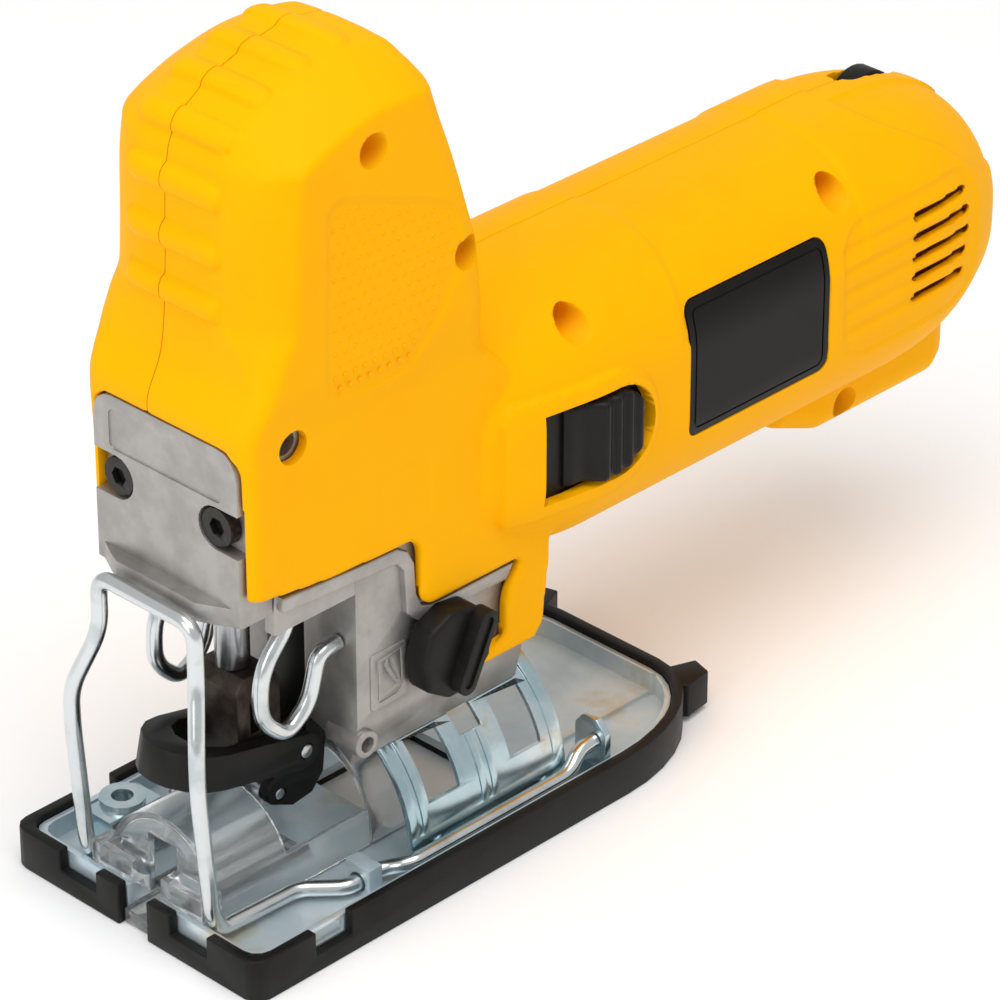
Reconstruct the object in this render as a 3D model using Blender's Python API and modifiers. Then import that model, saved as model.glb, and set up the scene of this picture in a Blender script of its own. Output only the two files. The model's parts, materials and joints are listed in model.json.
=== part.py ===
"""Body-grip jigsaw: two clamshells, gear case, motor, plunger drive, blade clamp, bevel saddle and shoe.

X runs from the shoe's front edge to the motor end, Y to the tool's right, Z up from the sole.
Dimensions are millimetres; to_m() turns them into the scene's metres and centres the tool on X.
"""
from math import atan2, cos, degrees, pi, radians, sin, sqrt

import bmesh
import bpy
from mathutils import Matrix, Vector

# Overall
BODY_LENGTH = 264.0
SHOE_LENGTH, SHOE_WIDTH = 153.0, 80.0
GRIP_TOP = 201.0
HEAD_HALF_WIDTH = 27.0
HEAD_FRONT_CUT, HEAD_SIDE_CUT, HEAD_DROP = 8.5, 14.0, 9.0
GAP = 0.3
SEAM_Y = 5.0
SHELL_WALL = 2.4

# Motor
MOTOR_Z = 93.0
BARREL_HALF_WIDTH, BARREL_HALF_HEIGHT, BARREL_CORNER = 32.0, 35.0, 27.0
DOME_LENGTH = 42.0
STATOR_RADIUS, STATOR_BORE, STATOR_LENGTH = 27.2, 16.2, 48.0
STATOR_X = 139.0
SHAFT_RADIUS = 3.5
CORE_RADIUS = 15.4
FAN_RADIUS, FAN_X, FAN_LENGTH = 24.0, 97.0, 10.0
COMMUTATOR_RADIUS, COMMUTATOR_X, COMMUTATOR_LENGTH = 11.0, 198.0, 16.0
FRONT_BEARING_RADIUS, FRONT_BEARING_X = 11.0, 73.0
REAR_BEARING_RADIUS, REAR_BEARING_X = 9.5, 246.0
BEARING_WIDTH = 6.4

# Drive
TOOTH_MODULE, PINION_TEETH, GEAR_TEETH = 0.8, 9, 45
GEAR_X, GEAR_WIDTH = 45.5, 6.0
PINION_RADIUS = TOOTH_MODULE * PINION_TEETH / 2
GEAR_RADIUS = TOOTH_MODULE * GEAR_TEETH / 2
GEAR_Z = MOTOR_Z + PINION_RADIUS + GEAR_RADIUS
STROKE = 22.0
DRIVE_PIN_RADIUS = 3.0
AXLE_RADIUS = 4.0

# Plunger and clamp
BLADE_X = 32.0
ROD_RADIUS = 4.0
YOKE_Z = GEAR_Z - STROKE / 2
CLAMP_BOTTOM, CLAMP_TOP, CLAMP_HALF_WIDTH = 32.0, 56.0, 7.0
LEVER_PIN_X, LEVER_PIN_Z, LEVER_PIN_RADIUS = 43.0, 33.0, 1.7
LEVER_TILT = 13.0

# Gear case
CASE_FRONT, CASE_REAR, CASE_HALF_WIDTH = 24.0, 79.6, 22.6
CASE_FLOOR, CASE_TOP, CASE_WALL = 84.0, 143.0, 3.0
COVER_FRONT, COVER_TOP = 14.2, 123.6
FRAME_FRONT, FRAME_REAR = 48.0, 100.0
SELECTOR_X, SELECTOR_Z, SELECTOR_RADIUS = 72.0, 54.0, 11.6
FORK_PIVOT_X, FORK_PIVOT_Z = 54.0, 74.0
ROLLER_X, ROLLER_Z, ROLLER_RADIUS = 40.5, 20.0, 4.2

# Shoe
BEVEL_Z = 8.0
SADDLE_RADIUS, SADDLE_THICKNESS = 30.5, 1.8
SADDLE_X0, SADDLE_X1 = 57.0, 106.0
SEAT_ANGLE = 40.0
OVERSHOE_HEIGHT, OVERSHOE_WALL, OVERSHOE_FLOOR = 10.5, 2.7, 1.5
PLATE_THICKNESS, RIM_HEIGHT, RIM_THICKNESS = 2.2, 9.0, 1.5
SLOT_HALF_WIDTH, SLOT_END = 4.6, 46.0
FLANGE_INNER = SADDLE_RADIUS - SADDLE_THICKNESS
FLANGE_THICKNESS = 1.6
BEVEL_SCREW_X, BEVEL_SCREW_RADIUS = 82.0, 3.0
SHIELD_RADIUS, SHIELD_WALL = 17.5, 1.8
WIRE_RADIUS = 1.9
FENCE_X, FENCE_WIDTH = 23.5, 11.0
BUSH_X, BUSH_Y = 23.5, 29.0

PLATE_Z = OVERSHOE_FLOOR + GAP
PLATE_TOP = PLATE_Z + PLATE_THICKNESS
FLANGE_Z = PLATE_TOP + GAP
FLANGE_TOP = FLANGE_Z + FLANGE_THICKNESS

MM = 0.001

for old in list(bpy.data.objects):
    bpy.data.objects.remove(old)
TOOL = bpy.data.collections.new("jigsaw")
CUTTERS = bpy.data.collections.new("cutters")
bpy.context.scene.collection.children.link(TOOL)
bpy.context.scene.collection.children.link(CUTTERS)
CUTTERS.hide_render = True


def to_m(x, y, z):
    """The scene position of a point given in millimetres from the shoe's front edge."""
    return Vector(((x - BODY_LENGTH / 2) * MM, y * MM, z * MM))


def material(name, colour, roughness, metallic=0.0, alpha=1.0):
    made = bpy.data.materials.new(name)
    made.use_nodes = True
    shader = made.node_tree.nodes["Principled BSDF"]
    shader.inputs["Base Color"].default_value = (*colour, 1.0)
    shader.inputs["Roughness"].default_value = roughness
    shader.inputs["Metallic"].default_value = metallic
    shader.inputs["Alpha"].default_value = alpha
    made.diffuse_color = (*colour, alpha)
    return made


YELLOW = material("yellow_nylon", (0.95, 0.50, 0.01), 0.45)
CAST = material("cast_aluminium", (0.55, 0.54, 0.52), 0.5, 1.0)
ZINC = material("zinc_plate", (0.62, 0.70, 0.72), 0.25, 1.0)
BLACK = material("black_nylon", (0.03, 0.03, 0.03), 0.5)
STEEL = material("steel", (0.55, 0.55, 0.55), 0.3, 1.0)
DARK_STEEL = material("dark_steel", (0.10, 0.09, 0.08), 0.4, 1.0)
COPPER = material("copper", (0.80, 0.35, 0.15), 0.35, 1.0)
BRONZE = material("sintered_bronze", (0.50, 0.33, 0.15), 0.5, 1.0)
CARBON = material("carbon", (0.04, 0.04, 0.04), 0.7)
CLEAR = material("clear_plastic", (0.85, 0.9, 0.92), 0.1, 0.0, 0.35)


def enter(name, mesh, look=None):
    """A new object in the cutters' collection, or in the tool's when it has a look."""
    obj = bpy.data.objects.new(name, mesh)
    (TOOL if look else CUTTERS).objects.link(obj)
    if look:
        obj.data.materials.append(look)
    else:
        obj.hide_render = True
        obj.display_type = "WIRE"
    return obj


def from_bmesh(name, bm, look=None):
    bmesh.ops.recalc_face_normals(bm, faces=bm.faces)
    mesh = bpy.data.meshes.new(name)
    bm.to_mesh(mesh)
    bm.free()
    return enter(name, mesh, look)


def box(name, x, y, z, look=None):
    """A box between the pairs x, y and z."""
    bm = bmesh.new()
    size = Vector((x[1] - x[0], y[1] - y[0], z[1] - z[0])) * MM
    middle = to_m(sum(x) / 2, sum(y) / 2, sum(z) / 2)
    bmesh.ops.create_cube(bm, size=1.0, matrix=Matrix.Translation(middle) @ Matrix.Diagonal((*size, 1.0)))
    return from_bmesh(name, bm, look)


def along(axis):
    """The rotation that turns local Z to the axis X, Y or Z."""
    return {"X": Matrix.Rotation(pi / 2, 4, "Y"), "Y": Matrix.Rotation(-pi / 2, 4, "X"), "Z": Matrix()}[axis]


def rod(name, axis, start, length, radius, look=None, segments=20, end_radius=None):
    """A cylinder from start along +axis, or a cone frustum with end_radius."""
    bm = bmesh.new()
    place = Matrix.Translation(to_m(*start)) @ along(axis) @ Matrix.Translation((0, 0, length / 2 * MM))
    bmesh.ops.create_cone(bm, cap_ends=True, segments=segments, radius1=radius * MM,
                          radius2=(radius if end_radius is None else end_radius) * MM,
                          depth=length * MM, matrix=place)
    return from_bmesh(name, bm, look)


def turned(name, axis, start, outline, look=None, segments=24):
    """A body of revolution: outline is (distance along the axis, radius), from far end to near end."""
    mesh = bpy.data.meshes.new(name)
    points = [(r * MM, 0.0, t * MM) for t, r in outline]
    closed = outline[0][1] > 0 or outline[-1][1] > 0
    edges = [(i, i + 1) for i in range(len(points) - 1)] + ([(len(points) - 1, 0)] if closed else [])
    mesh.from_pydata(points, edges, [])
    obj = enter(name, mesh, look)
    obj.matrix_world = Matrix.Translation(to_m(*start)) @ along(axis)
    screw = obj.modifiers.new("turn", "SCREW")
    screw.steps = screw.render_steps = segments
    screw.use_merge_vertices = True
    screw.merge_threshold = 1e-6
    screw.use_normal_calculate = True
    return bake(obj, face_outward=True)


def ring(name, axis, start, length, radius, bore, look=None, segments=24):
    return turned(name, axis, start, [(length, bore), (length, radius), (0, radius), (0, bore)],
                  look, segments)


def bake(obj, face_outward=False):
    """Replace the object's mesh by its evaluated mesh."""
    graph = bpy.context.evaluated_depsgraph_get()
    mesh = bpy.data.meshes.new_from_object(obj.evaluated_get(graph))
    obj.modifiers.clear()
    bm = bmesh.new()
    bm.from_mesh(mesh)
    bmesh.ops.remove_doubles(bm, verts=bm.verts, dist=2e-6)
    bmesh.ops.dissolve_degenerate(bm, edges=bm.edges, dist=2e-6)
    if face_outward:
        bmesh.ops.recalc_face_normals(bm, faces=bm.faces)
    bm.to_mesh(mesh)
    bm.free()
    obj.data = mesh
    return obj


def combine(obj, others, operation="DIFFERENCE"):
    """Boolean every object of others with obj. Each one stays in the cutters' collection."""
    for other in others:
        modifier = obj.modifiers.new(operation.lower(), "BOOLEAN")
        modifier.operation = operation
        modifier.object = other
        modifier.solver = "EXACT"
    return bake(obj)


def join(obj, others):
    return combine(obj, others, "UNION")


def outline_plate(name, plane, outlines, low, high, look=None):
    """A flat plate from closed outlines, holes included, between low and high across its plane."""
    curve = bpy.data.curves.new(name, "CURVE")
    curve.dimensions = "2D"
    curve.fill_mode = "BOTH"
    curve.extrude = (high - low) / 2 * MM
    for outline in outlines:
        spline = curve.splines.new("POLY")
        spline.points.add(len(outline) - 1)
        for point, (u, v) in zip(spline.points, outline):
            point.co = (u * MM, v * MM, 0, 1)
        spline.use_cyclic_u = True
    source = bpy.data.objects.new(name, curve)
    CUTTERS.objects.link(source)
    middle = (low + high) / 2 * MM
    turn = {"XY": Matrix(), "XZ": Matrix.Rotation(pi / 2, 4, "X"),
            "YZ": Matrix.Rotation(pi / 2, 4, "Z") @ Matrix.Rotation(pi / 2, 4, "X")}[plane]
    lift = {"XY": Vector((0, 0, middle)), "XZ": Vector((0, middle, 0)), "YZ": Vector((middle, 0, 0))}[plane]
    shift = Vector((-BODY_LENGTH / 2 * MM, 0, 0))
    return from_curve(name, source, Matrix.Translation(lift + shift) @ turn, look)


def from_curve(name, source, place, look):
    graph = bpy.context.evaluated_depsgraph_get()
    mesh = bpy.data.meshes.new_from_object(source.evaluated_get(graph))
    bpy.data.objects.remove(source)
    bm = bmesh.new()
    bm.from_mesh(mesh)
    bmesh.ops.transform(bm, matrix=place, verts=bm.verts)
    bmesh.ops.remove_doubles(bm, verts=bm.verts, dist=2e-6)
    return from_bmesh(name, bm, look)


def wire(name, points, radius, bend, look=None, resolution=1):
    """A round wire through points, with every inner corner bent to the radius bend."""
    curve = bpy.data.curves.new(name, "CURVE")
    curve.dimensions = "3D"
    curve.bevel_depth = radius * MM
    curve.bevel_resolution = resolution
    curve.use_fill_caps = True
    path = bent([Vector(p) for p in points], bend)
    spline = curve.splines.new("POLY")
    spline.points.add(len(path) - 1)
    for point, place in zip(spline.points, path):
        point.co = (*to_m(*place), 1)
    source = bpy.data.objects.new(name, curve)
    CUTTERS.objects.link(source)
    return from_curve(name, source, Matrix(), look)


def bent(points, bend, steps=2):
    """The points with each inner corner replaced by an arc that starts at most bend from it."""
    path = [points[0]]
    for before, corner, after in zip(points, points[1:], points[2:]):
        into, out = (before - corner), (after - corner)
        reach = min(bend, into.length * 0.45, out.length * 0.45)
        start, end = corner + into.normalized() * reach, corner + out.normalized() * reach
        for step in range(steps + 1):
            t = step / steps
            path.append(start * (1 - t) ** 2 + corner * 2 * t * (1 - t) + end * t ** 2)
    return path + [points[-1]]


def arc(cx, cy, radius, start, end, steps):
    """Points on an arc from the angle start to end, in degrees, both ends included."""
    angles = [radians(start + (end - start) * i / steps) for i in range(steps + 1)]
    return [(cx + radius * cos(a), cy + radius * sin(a)) for a in angles]


def rounded(u, v, radius, steps=4):
    """A rounded rectangle between the pairs u and v, anticlockwise."""
    r = min(radius, (u[1] - u[0]) / 2 - 0.01, (v[1] - v[0]) / 2 - 0.01)
    points = []
    for cu, cv, start in ((u[1] - r, v[1] - r, 0), (u[0] + r, v[1] - r, 90),
                          (u[0] + r, v[0] + r, 180), (u[1] - r, v[0] + r, 270)):
        points += arc(cu, cv, r, start, start + 90, steps)
    return points


def round_topped(half, low, high, radius):
    """A rectangle about the Z axis of the YZ plane, with its two upper corners rounded."""
    return [(-half, low), (half, low), *arc(half - radius, high - radius, radius, 0, 90, 4),
            *arc(-half + radius, high - radius, radius, 90, 180, 4)]


def loft(name, rings, look=None):
    """A closed body through rings of equal counts, with flat ends."""
    bm = bmesh.new()
    rows = [[bm.verts.new(to_m(*p)) for p in points] for points in rings]
    count = len(rows[0])
    for one, two in zip(rows, rows[1:]):
        for i in range(count):
            bm.faces.new((one[i], one[(i + 1) % count], two[(i + 1) % count], two[i]))
    bm.faces.new(rows[0])
    bm.faces.new(rows[-1])
    return from_bmesh(name, bm, look)


def barrel(name, inset=0.0, start=0, end=None, look=None, steps=5):
    """The motor barrel, inset for its inside: a rounded section carried along X to a domed end."""
    w, h, r, z = BARREL_HALF_WIDTH, BARREL_HALF_HEIGHT, BARREL_CORNER, MOTOR_Z
    stations = [(80, w - 9, h - 8), (86, w - 5.2, h - 4), (92, w - 3.4, h - 2.4), (104, w - 1.4, h - 1),
                (118, w, h)]
    for share in (0, 0.3, 0.5, 0.65, 0.78, 0.88, 0.95, 1):
        fall = 1 - (1 - share ** 2.2) ** (1 / 2.2)
        stations.append((BODY_LENGTH - DOME_LENGTH * (1 - share), w - (w - 16) * fall, h - (h - 17) * fall))
    chosen = stations[start:end]
    rings = []
    for x, half_y, half_z in chosen:
        a, b = half_y - inset, half_z - inset
        corner = max(min(r - inset, a - 0.6, b - 0.6), 0.5)
        section = rounded((-a, a), (z - b, z + b), corner, steps)
        rings.append([(x, y, up) for y, up in section])
    return loft(name, rings, look)


def plan_section(x, half, front_cut, side_cut, rear_cut):
    """A plan outline between the pair x and +-half, with its front and rear corners cut back."""
    x0, x1 = x
    rear = [(x1 - rear_cut, half), (x1 - 0.3 * rear_cut, half - 0.3 * rear_cut), (x1, half - rear_cut)]
    front = [(x0, half - side_cut), (x0 + 0.36 * front_cut, half - 0.36 * side_cut), (x0 + front_cut, half)]
    right = front + rear
    return right + [(u, -v) for u, v in reversed(right)]


def roof_section(top, half, drop):
    """A YZ outline whose crowned top falls by drop from its middle to +-half."""
    flat = half - HEAD_SIDE_CUT
    right = [(half + 6, 30), (half + 6, top - drop * (half + 6 - flat) / HEAD_SIDE_CUT), (half, top - drop),
             (half - HEAD_SIDE_CUT * 0.45, top - drop * 0.5), (flat, top - drop * 0.07)]
    return right + [(0, top)] + [(-u, v) for u, v in reversed(right)]


def grip_head(name, inset=0.0, lowest=60.0, look=None):
    """The upright grip over the nose: plan sections carried up Z, under a roof that slopes to the front."""
    nose, head, top = HEAD_HALF_WIDTH - 1.5, HEAD_HALF_WIDTH, GRIP_TOP
    cut, side = HEAD_FRONT_CUT, HEAD_SIDE_CUT
    plans = [(lowest, 15.2, 105, nose, 2.5, 2.5), (top - 86, 14.9, 100, nose, 3, 3),
             (top - 79, 14.6, 88, nose, 3, 3), (top - 75, 14.2, 87, nose + 0.3, 3.5, 4),
             (top - 64, 19.4, 85.8, head, 4, 5), (top - 58, 19.8, 85.2, head, 5, 7),
             (top - 51, 20.3, 84.4, head, cut, side), (top - 41, 20.9, 81.6, head, cut, side),
             (top - 26, 21.5, 76.8, head, cut, side), (top - 18, 22.6, 73.8, head, cut, side),
             (top + 6, 28, 66, head, cut, side)]
    rings = []
    for z, front, rear, half, front_cut, side_cut in plans:
        cuts = [max(c - 0.5 * inset, 1.0) for c in (front_cut, side_cut, 6)]
        rings.append([(x, y, z) for x, y in plan_section((front + inset, rear - inset), half - inset, *cuts)])
    head_block = loft(name, rings, look)
    ridge = [(5, top - 45), (19, top - 28), (21.4, top - 21), (23.2, top - 16), (26, top - 11.5),
             (30.5, top - 8),
             (35.7, top - 5.3), (46, top - 1.8), (57, top), (65, top - 0.6), (71, top - 3.2), (76, top - 9),
             (80, top - 18), (90, top - 36), (120, top - 60)]
    drop = inset * 1.15
    roof = loft(name + "_roof", [[(x, y, z) for y, z in roof_section(up - drop, head, HEAD_DROP)]
                                 for x, up in ridge])
    return combine(head_block, [roof], "INTERSECT")


def cord_boss(name, inset=0.0):
    stations = [(190, 9, 60, 70), (198, 14, 51.5, 75), (210, 16, 47.5, 75), (250, 16, 47.5, 75),
                (254, 14.5, 49, 75)]
    rings = []
    for x, half, low, high in stations:
        section = rounded((-half + inset, half - inset), (low + inset, high), 7 - inset, 3)
        rings.append([(x, y, z) for y, z in section])
    return loft(name, rings)


# Side view places of the screws that hold the shells: x, z, and how deep their seats lie
THROUGH_SCREWS = [(51.0, 183.5), (79.0, 149.5), (113.0, 118.5), (200.0, 119.0), (217.0, 54.0)]
CASE_SCREW = (27.8, 122.0)
CASE_SCREW_SEAT_Y = -17.5
SCREW_SEAT_Y = -3.0
SCREW_HEAD, SCREW_SHANK, SCREW_BOSS = 3.3, 1.5, 5.4


def housing_core():
    """The whole hollow body before it is parted: outside form less its cavities, with bosses and web."""
    core = grip_head("housing_core")
    leg = outline_plate("rear_leg", "XZ", [[
                        (84.5, 43), (101.5, 43), (104, 46), (106, 62), (106, 76), (84.5, 76)]],
                        -25.3, 25.3)
    join(core, [barrel("barrel_outside"), cord_boss("cord_boss_outside"), leg])
    bosses = [rod(f"screw_boss_{i}", "Y", (x, -40, z), 80, SCREW_BOSS, segments=14)
              for i, (x, z) in enumerate(THROUGH_SCREWS)]
    head_hollow = grip_head("head_hollow", SHELL_WALL, 50.0)
    front_hollow = barrel("front_hollow", SHELL_WALL, 1, 6)
    stop = box("front_hollow_stop", (STATOR_X - 2.5, 300), (-50, 50), (0, 200))
    combine(front_hollow, [stop])
    rear_hollow = barrel("rear_hollow", SHELL_WALL + 0.1, 4, 12)
    stop = box("rear_hollow_stop", (0, STATOR_X + STATOR_LENGTH + 1.5), (-50, 50), (0, 200))
    web = box("bearing_web", (REAR_BEARING_X - 0.4, REAR_BEARING_X + BEARING_WIDTH), (-50, 50),
              (MOTOR_Z - 12.3, MOTOR_Z + 12.3))
    combine(rear_hollow, [stop, web])
    combine(head_hollow, bosses)
    combine(front_hollow, bosses)
    combine(rear_hollow, bosses)
    boss_hollow = combine(cord_boss("boss_hollow", SHELL_WALL), bosses +
                          [box("boss_hollow_stop", (234, 260), (-30, 30), (40, 80))])
    stator_bore = rod("stator_bore", "X", (STATOR_X - 5, 0, MOTOR_Z), STATOR_LENGTH + 10,
                      STATOR_RADIUS + GAP, segments=32)
    bearing_bore = rod("rear_bearing_bore", "X", (REAR_BEARING_X - 2, 0, MOTOR_Z), BEARING_WIDTH + 5,
                       REAR_BEARING_RADIUS + GAP)
    inlet_bore = rod("inlet_bore", "X", (236, 0, 57.2), 30, 7.0)
    leg_hollow = box("leg_hollow", (60, 101.2), (-CASE_HALF_WIDTH - GAP, CASE_HALF_WIDTH + GAP), (30, 75))
    combine(core, [head_hollow, front_hollow, rear_hollow, boss_hollow, stator_bore, bearing_bore,
                   inlet_bore, leg_hollow])
    frame_side = outline_plate("frame_side_cut", "XZ", [[
        (0, 20), (0, 88.5), (14, 88.5), (30, 86), (46, 84.8), (59, 84.4), *arc(61, 80, 4.4, 80, 0, 3),
        (65.6, 70), (67, 67), (70, 66), (97, 66), (91.8, 58), (91.8, 47), (84, 45.6), (83, 20)]], -60, 60)
    nose_window = outline_plate("nose_window", "YZ", [
        rounded((-CASE_HALF_WIDTH - GAP, CASE_HALF_WIDTH + GAP), (30, COVER_TOP + GAP), 6.3)], 0, CASE_FRONT)
    combine(core, [frame_side, nose_window])
    return core


def half_body(name, core, low, high):
    half = enter(name, core.data.copy(), YELLOW)
    half.data.materials.clear()
    half.data.materials.append(YELLOW)
    return combine(half, [box(name + "_side", (-50, 400), (low, high), (-10, 300))], "INTERSECT")


def side_strip(name, x, z, outer_inset, inner_inset, side, look=None):
    """A strip of the barrel's side wall between two insets, x and z pairs: side is -1 left, +1 right."""
    def edge_y(up, inset):
        r, w, h = BARREL_CORNER, BARREL_HALF_WIDTH, BARREL_HALF_HEIGHT
        beyond = max(abs(up - MOTOR_Z) - (h - r), 0)
        return w - r + sqrt(max((r - inset) ** 2 - beyond ** 2, 0))
    steps = 8
    ups = [z[0] + (z[1] - z[0]) * i / steps for i in range(steps + 1)]
    outline = [(side * edge_y(up, outer_inset), up) for up in ups]
    outline += [(side * edge_y(up, inner_inset), up) for up in reversed(ups)]
    return outline_plate(name, "YZ", [outline], x[0], x[1], look)


BADGE_X, BADGE_Z = (144.5, 191.5), (79.5, 113.0)
SWITCH_X, SWITCH_Z = (98.5, 131.0), (80.5, 103.0)
SWITCH_TRAVEL = 6.0
DIAL_X, DIAL_Y, DIAL_Z, DIAL_RADIUS = 243.0, SEAM_Y, 117.4, 9.0


def shared_cuts():
    """The cuts that both shells have."""
    cuts = [side_strip(f"badge_recess_{side}", (BADGE_X[0] - GAP, BADGE_X[1] + GAP),
                       (BADGE_Z[0] - GAP, BADGE_Z[1] + GAP), -2, 1.5, side) for side in (-1, 1)]
    for i in range(5):
        z = 84.5 + 5.2 * i
        cuts.append(box(f"vent_{i}", (222, 245 - abs(i - 2.3)), (-50, 50), (z, z + 2.4)))
    pocket_low = DIAL_Z - DIAL_RADIUS - 0.5
    for name, half, low, high in (("dial_pocket", DIAL_RADIUS + 0.7, pocket_low, DIAL_Z + 4.5),
                                  ("dial_slot", DIAL_RADIUS - 0.6, DIAL_Z, DIAL_Z + 30)):
        cuts.append(box(name, (DIAL_X - half, DIAL_X + half), (DIAL_Y - 3.2, DIAL_Y + 3.2), (low, high)))
    return cuts


def housing():
    core = housing_core()
    cuts = shared_cuts()
    left = half_body("housing_left", core, -100, SEAM_Y - GAP / 2)
    right = half_body("housing_right", core, SEAM_Y + GAP / 2, 100)
    surround = outline_plate("switch_surround", "XZ", [
        [(88, 78), (90, 76.5), *arc(118, 91.7, 15.2, -90, 90, 8), (90, 106.9), (88, 105)]], -33.4, -29.9)
    join(left, [surround])
    opening = outline_plate("switch_opening", "XZ", [
        [(SWITCH_X[0], SWITCH_Z[0]), *arc(SWITCH_X[1] - 11.25, 91.75, 11.25, -90, 90, 8),
         (SWITCH_X[0], SWITCH_Z[1])]], -60, -20)
    pocket = box("slider_pocket", (SWITCH_X[0] - SWITCH_TRAVEL - 4.2, SWITCH_X[1] + 6.2), (-28.9, -20),
                 (SWITCH_Z[0] - 3.2, SWITCH_Z[1] + 3.2))
    wells = [opening, pocket]
    for i, (x, z) in enumerate(THROUGH_SCREWS):
        wells.append(rod(f"screw_well_{i}", "Y", (x, -60, z), 60 + SCREW_SEAT_Y, SCREW_HEAD + 2 * GAP,
                         segments=16))
        wells.append(rod(f"screw_hole_{i}", "Y", (x, -20, z), 60, SCREW_SHANK + GAP, segments=10))
    x, z = CASE_SCREW
    wells.append(rod("case_screw_well", "Y", (x, -60, z), 60 - 18, SCREW_HEAD + 2 * GAP, segments=16))
    combine(left, cuts + wells)
    pilots = [rod(f"pilot_{i}", "Y", (x, -10, z), 28.5, SCREW_SHANK + GAP, segments=10)
              for i, (x, z) in enumerate(THROUGH_SCREWS)]
    combine(right, cuts + pilots)
    for side, name in ((-1, "badge_left"), (1, "badge_right")):
        side_strip(name, BADGE_X, BADGE_Z, 0.3, 1.2, side, BLACK)


def screw(name, axis, seat, head_radius, head_height, shank_radius, length, direction=1, look=DARK_STEEL):
    """A screw whose head's underside sits at seat and whose shank runs along direction times the axis."""
    reach = [(0, 0.0), (0, head_radius), (head_height, head_radius), (head_height, shank_radius),
             (head_height + length, shank_radius), (head_height + length, 0.0)]
    outline = [(t - head_height, r) for t, r in reversed(reach)]
    obj = turned(name, axis, (0, 0, 0), outline, look, 14)
    if direction < 0:
        obj.data.transform(Matrix.Diagonal((1, 1, -1, 1)))
        obj.data.flip_normals()
    obj.matrix_world = Matrix.Translation(to_m(*seat)) @ along(axis)
    return obj


def housing_screws():
    for i, (x, z) in enumerate(THROUGH_SCREWS):
        screw(f"housing_screw_{i + 1}", "Y", (x, SCREW_SEAT_Y - GAP, z), SCREW_HEAD, 2.6, SCREW_SHANK, 20.5)
    x, z = CASE_SCREW
    screw("case_side_screw", "Y", (x, CASE_SCREW_SEAT_Y - GAP, z), 2.7, 2.0, SCREW_SHANK, 6.5)


def toothed(name, teeth, width, x, z, bore, look, turn=0.0):
    """A spur gear in the YZ plane: straight-sided teeth on the pitch circle."""
    pitch = TOOTH_MODULE * teeth / 2
    tip, root = pitch + TOOTH_MODULE * 0.85, pitch - TOOTH_MODULE * 1.15
    outline = []
    for i in range(teeth):
        for share, radius in ((-0.30, root), (-0.11, tip), (0.11, tip), (0.30, root)):
            angle = 2 * pi * (i + share + turn) / teeth
            outline.append((radius * cos(angle), z + radius * sin(angle)))
    outlines = [outline]
    if bore:
        outlines.append(arc(0, z, bore, 0, 342, 19))
    return outline_plate(name, "YZ", outlines, x, x + width, look)


def motor():
    z = MOTOR_Z
    shaft = toothed("armature_shaft", PINION_TEETH, GEAR_WIDTH + 1.0, GEAR_X - 0.5, z, 0, STEEL, 0.25)
    join(shaft, [rod("shaft_blank", "X", (GEAR_X + GEAR_WIDTH, 0, z), 205.5, SHAFT_RADIUS)])
    clearance = SHAFT_RADIUS + GAP
    ring("armature_core", "X", (STATOR_X + 3, 0, z), STATOR_LENGTH - 6, CORE_RADIUS, clearance, STEEL, 28)
    ring("commutator", "X", (COMMUTATOR_X, 0, z), COMMUTATOR_LENGTH, COMMUTATOR_RADIUS, clearance, COPPER)
    ring("field_stator", "X", (STATOR_X, 0, z), STATOR_LENGTH, STATOR_RADIUS, STATOR_BORE, STEEL, 32)
    ring("front_bearing", "X", (FRONT_BEARING_X, 0, z), BEARING_WIDTH, FRONT_BEARING_RADIUS, clearance, STEEL)
    ring("rear_bearing", "X", (REAR_BEARING_X, 0, z), BEARING_WIDTH - 0.7,
         REAR_BEARING_RADIUS, clearance, STEEL)
    fan = turned("cooling_fan", "X", (FAN_X, 0, z), [
        (FAN_LENGTH, clearance), (FAN_LENGTH, 8), (2, 8), (2, FAN_RADIUS), (0, FAN_RADIUS), (0, clearance)],
        BLACK)
    blades = []
    for i in range(9):
        blade = box(f"fan_blade_{i}", (FAN_X + 1, FAN_X + FAN_LENGTH - 1), (-0.7, 0.7),
                    (z + 7, z + FAN_RADIUS - 0.5))
        centre = to_m(FAN_X, 0, z)
        blade.data.transform(Matrix.Translation(centre) @ Matrix.Rotation(2 * pi * i / 9, 4, "X")
                             @ Matrix.Translation(-centre))
        blades.append(blade)
    join(fan, blades)
    middle = COMMUTATOR_X + COMMUTATOR_LENGTH / 2
    for side, word in ((-1, "left"), (1, "right")):
        span = sorted((side * 12.5, side * 29.2))
        holder = box(f"brush_holder_{word}", (middle - 5.5, middle + 5.5), span, (z - 5, z + 5), BRONZE)
        combine(holder, [box(f"brush_way_{word}", (middle - 3.3, middle + 3.3),
                            sorted((side * 10, side * 27)),
                             (z - 2.8, z + 2.8))])
        box(f"brush_{word}", (middle - 3, middle + 3),
            sorted((side * 11.3, side * 24)), (z - 2.5, z + 2.5), CARBON)


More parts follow.
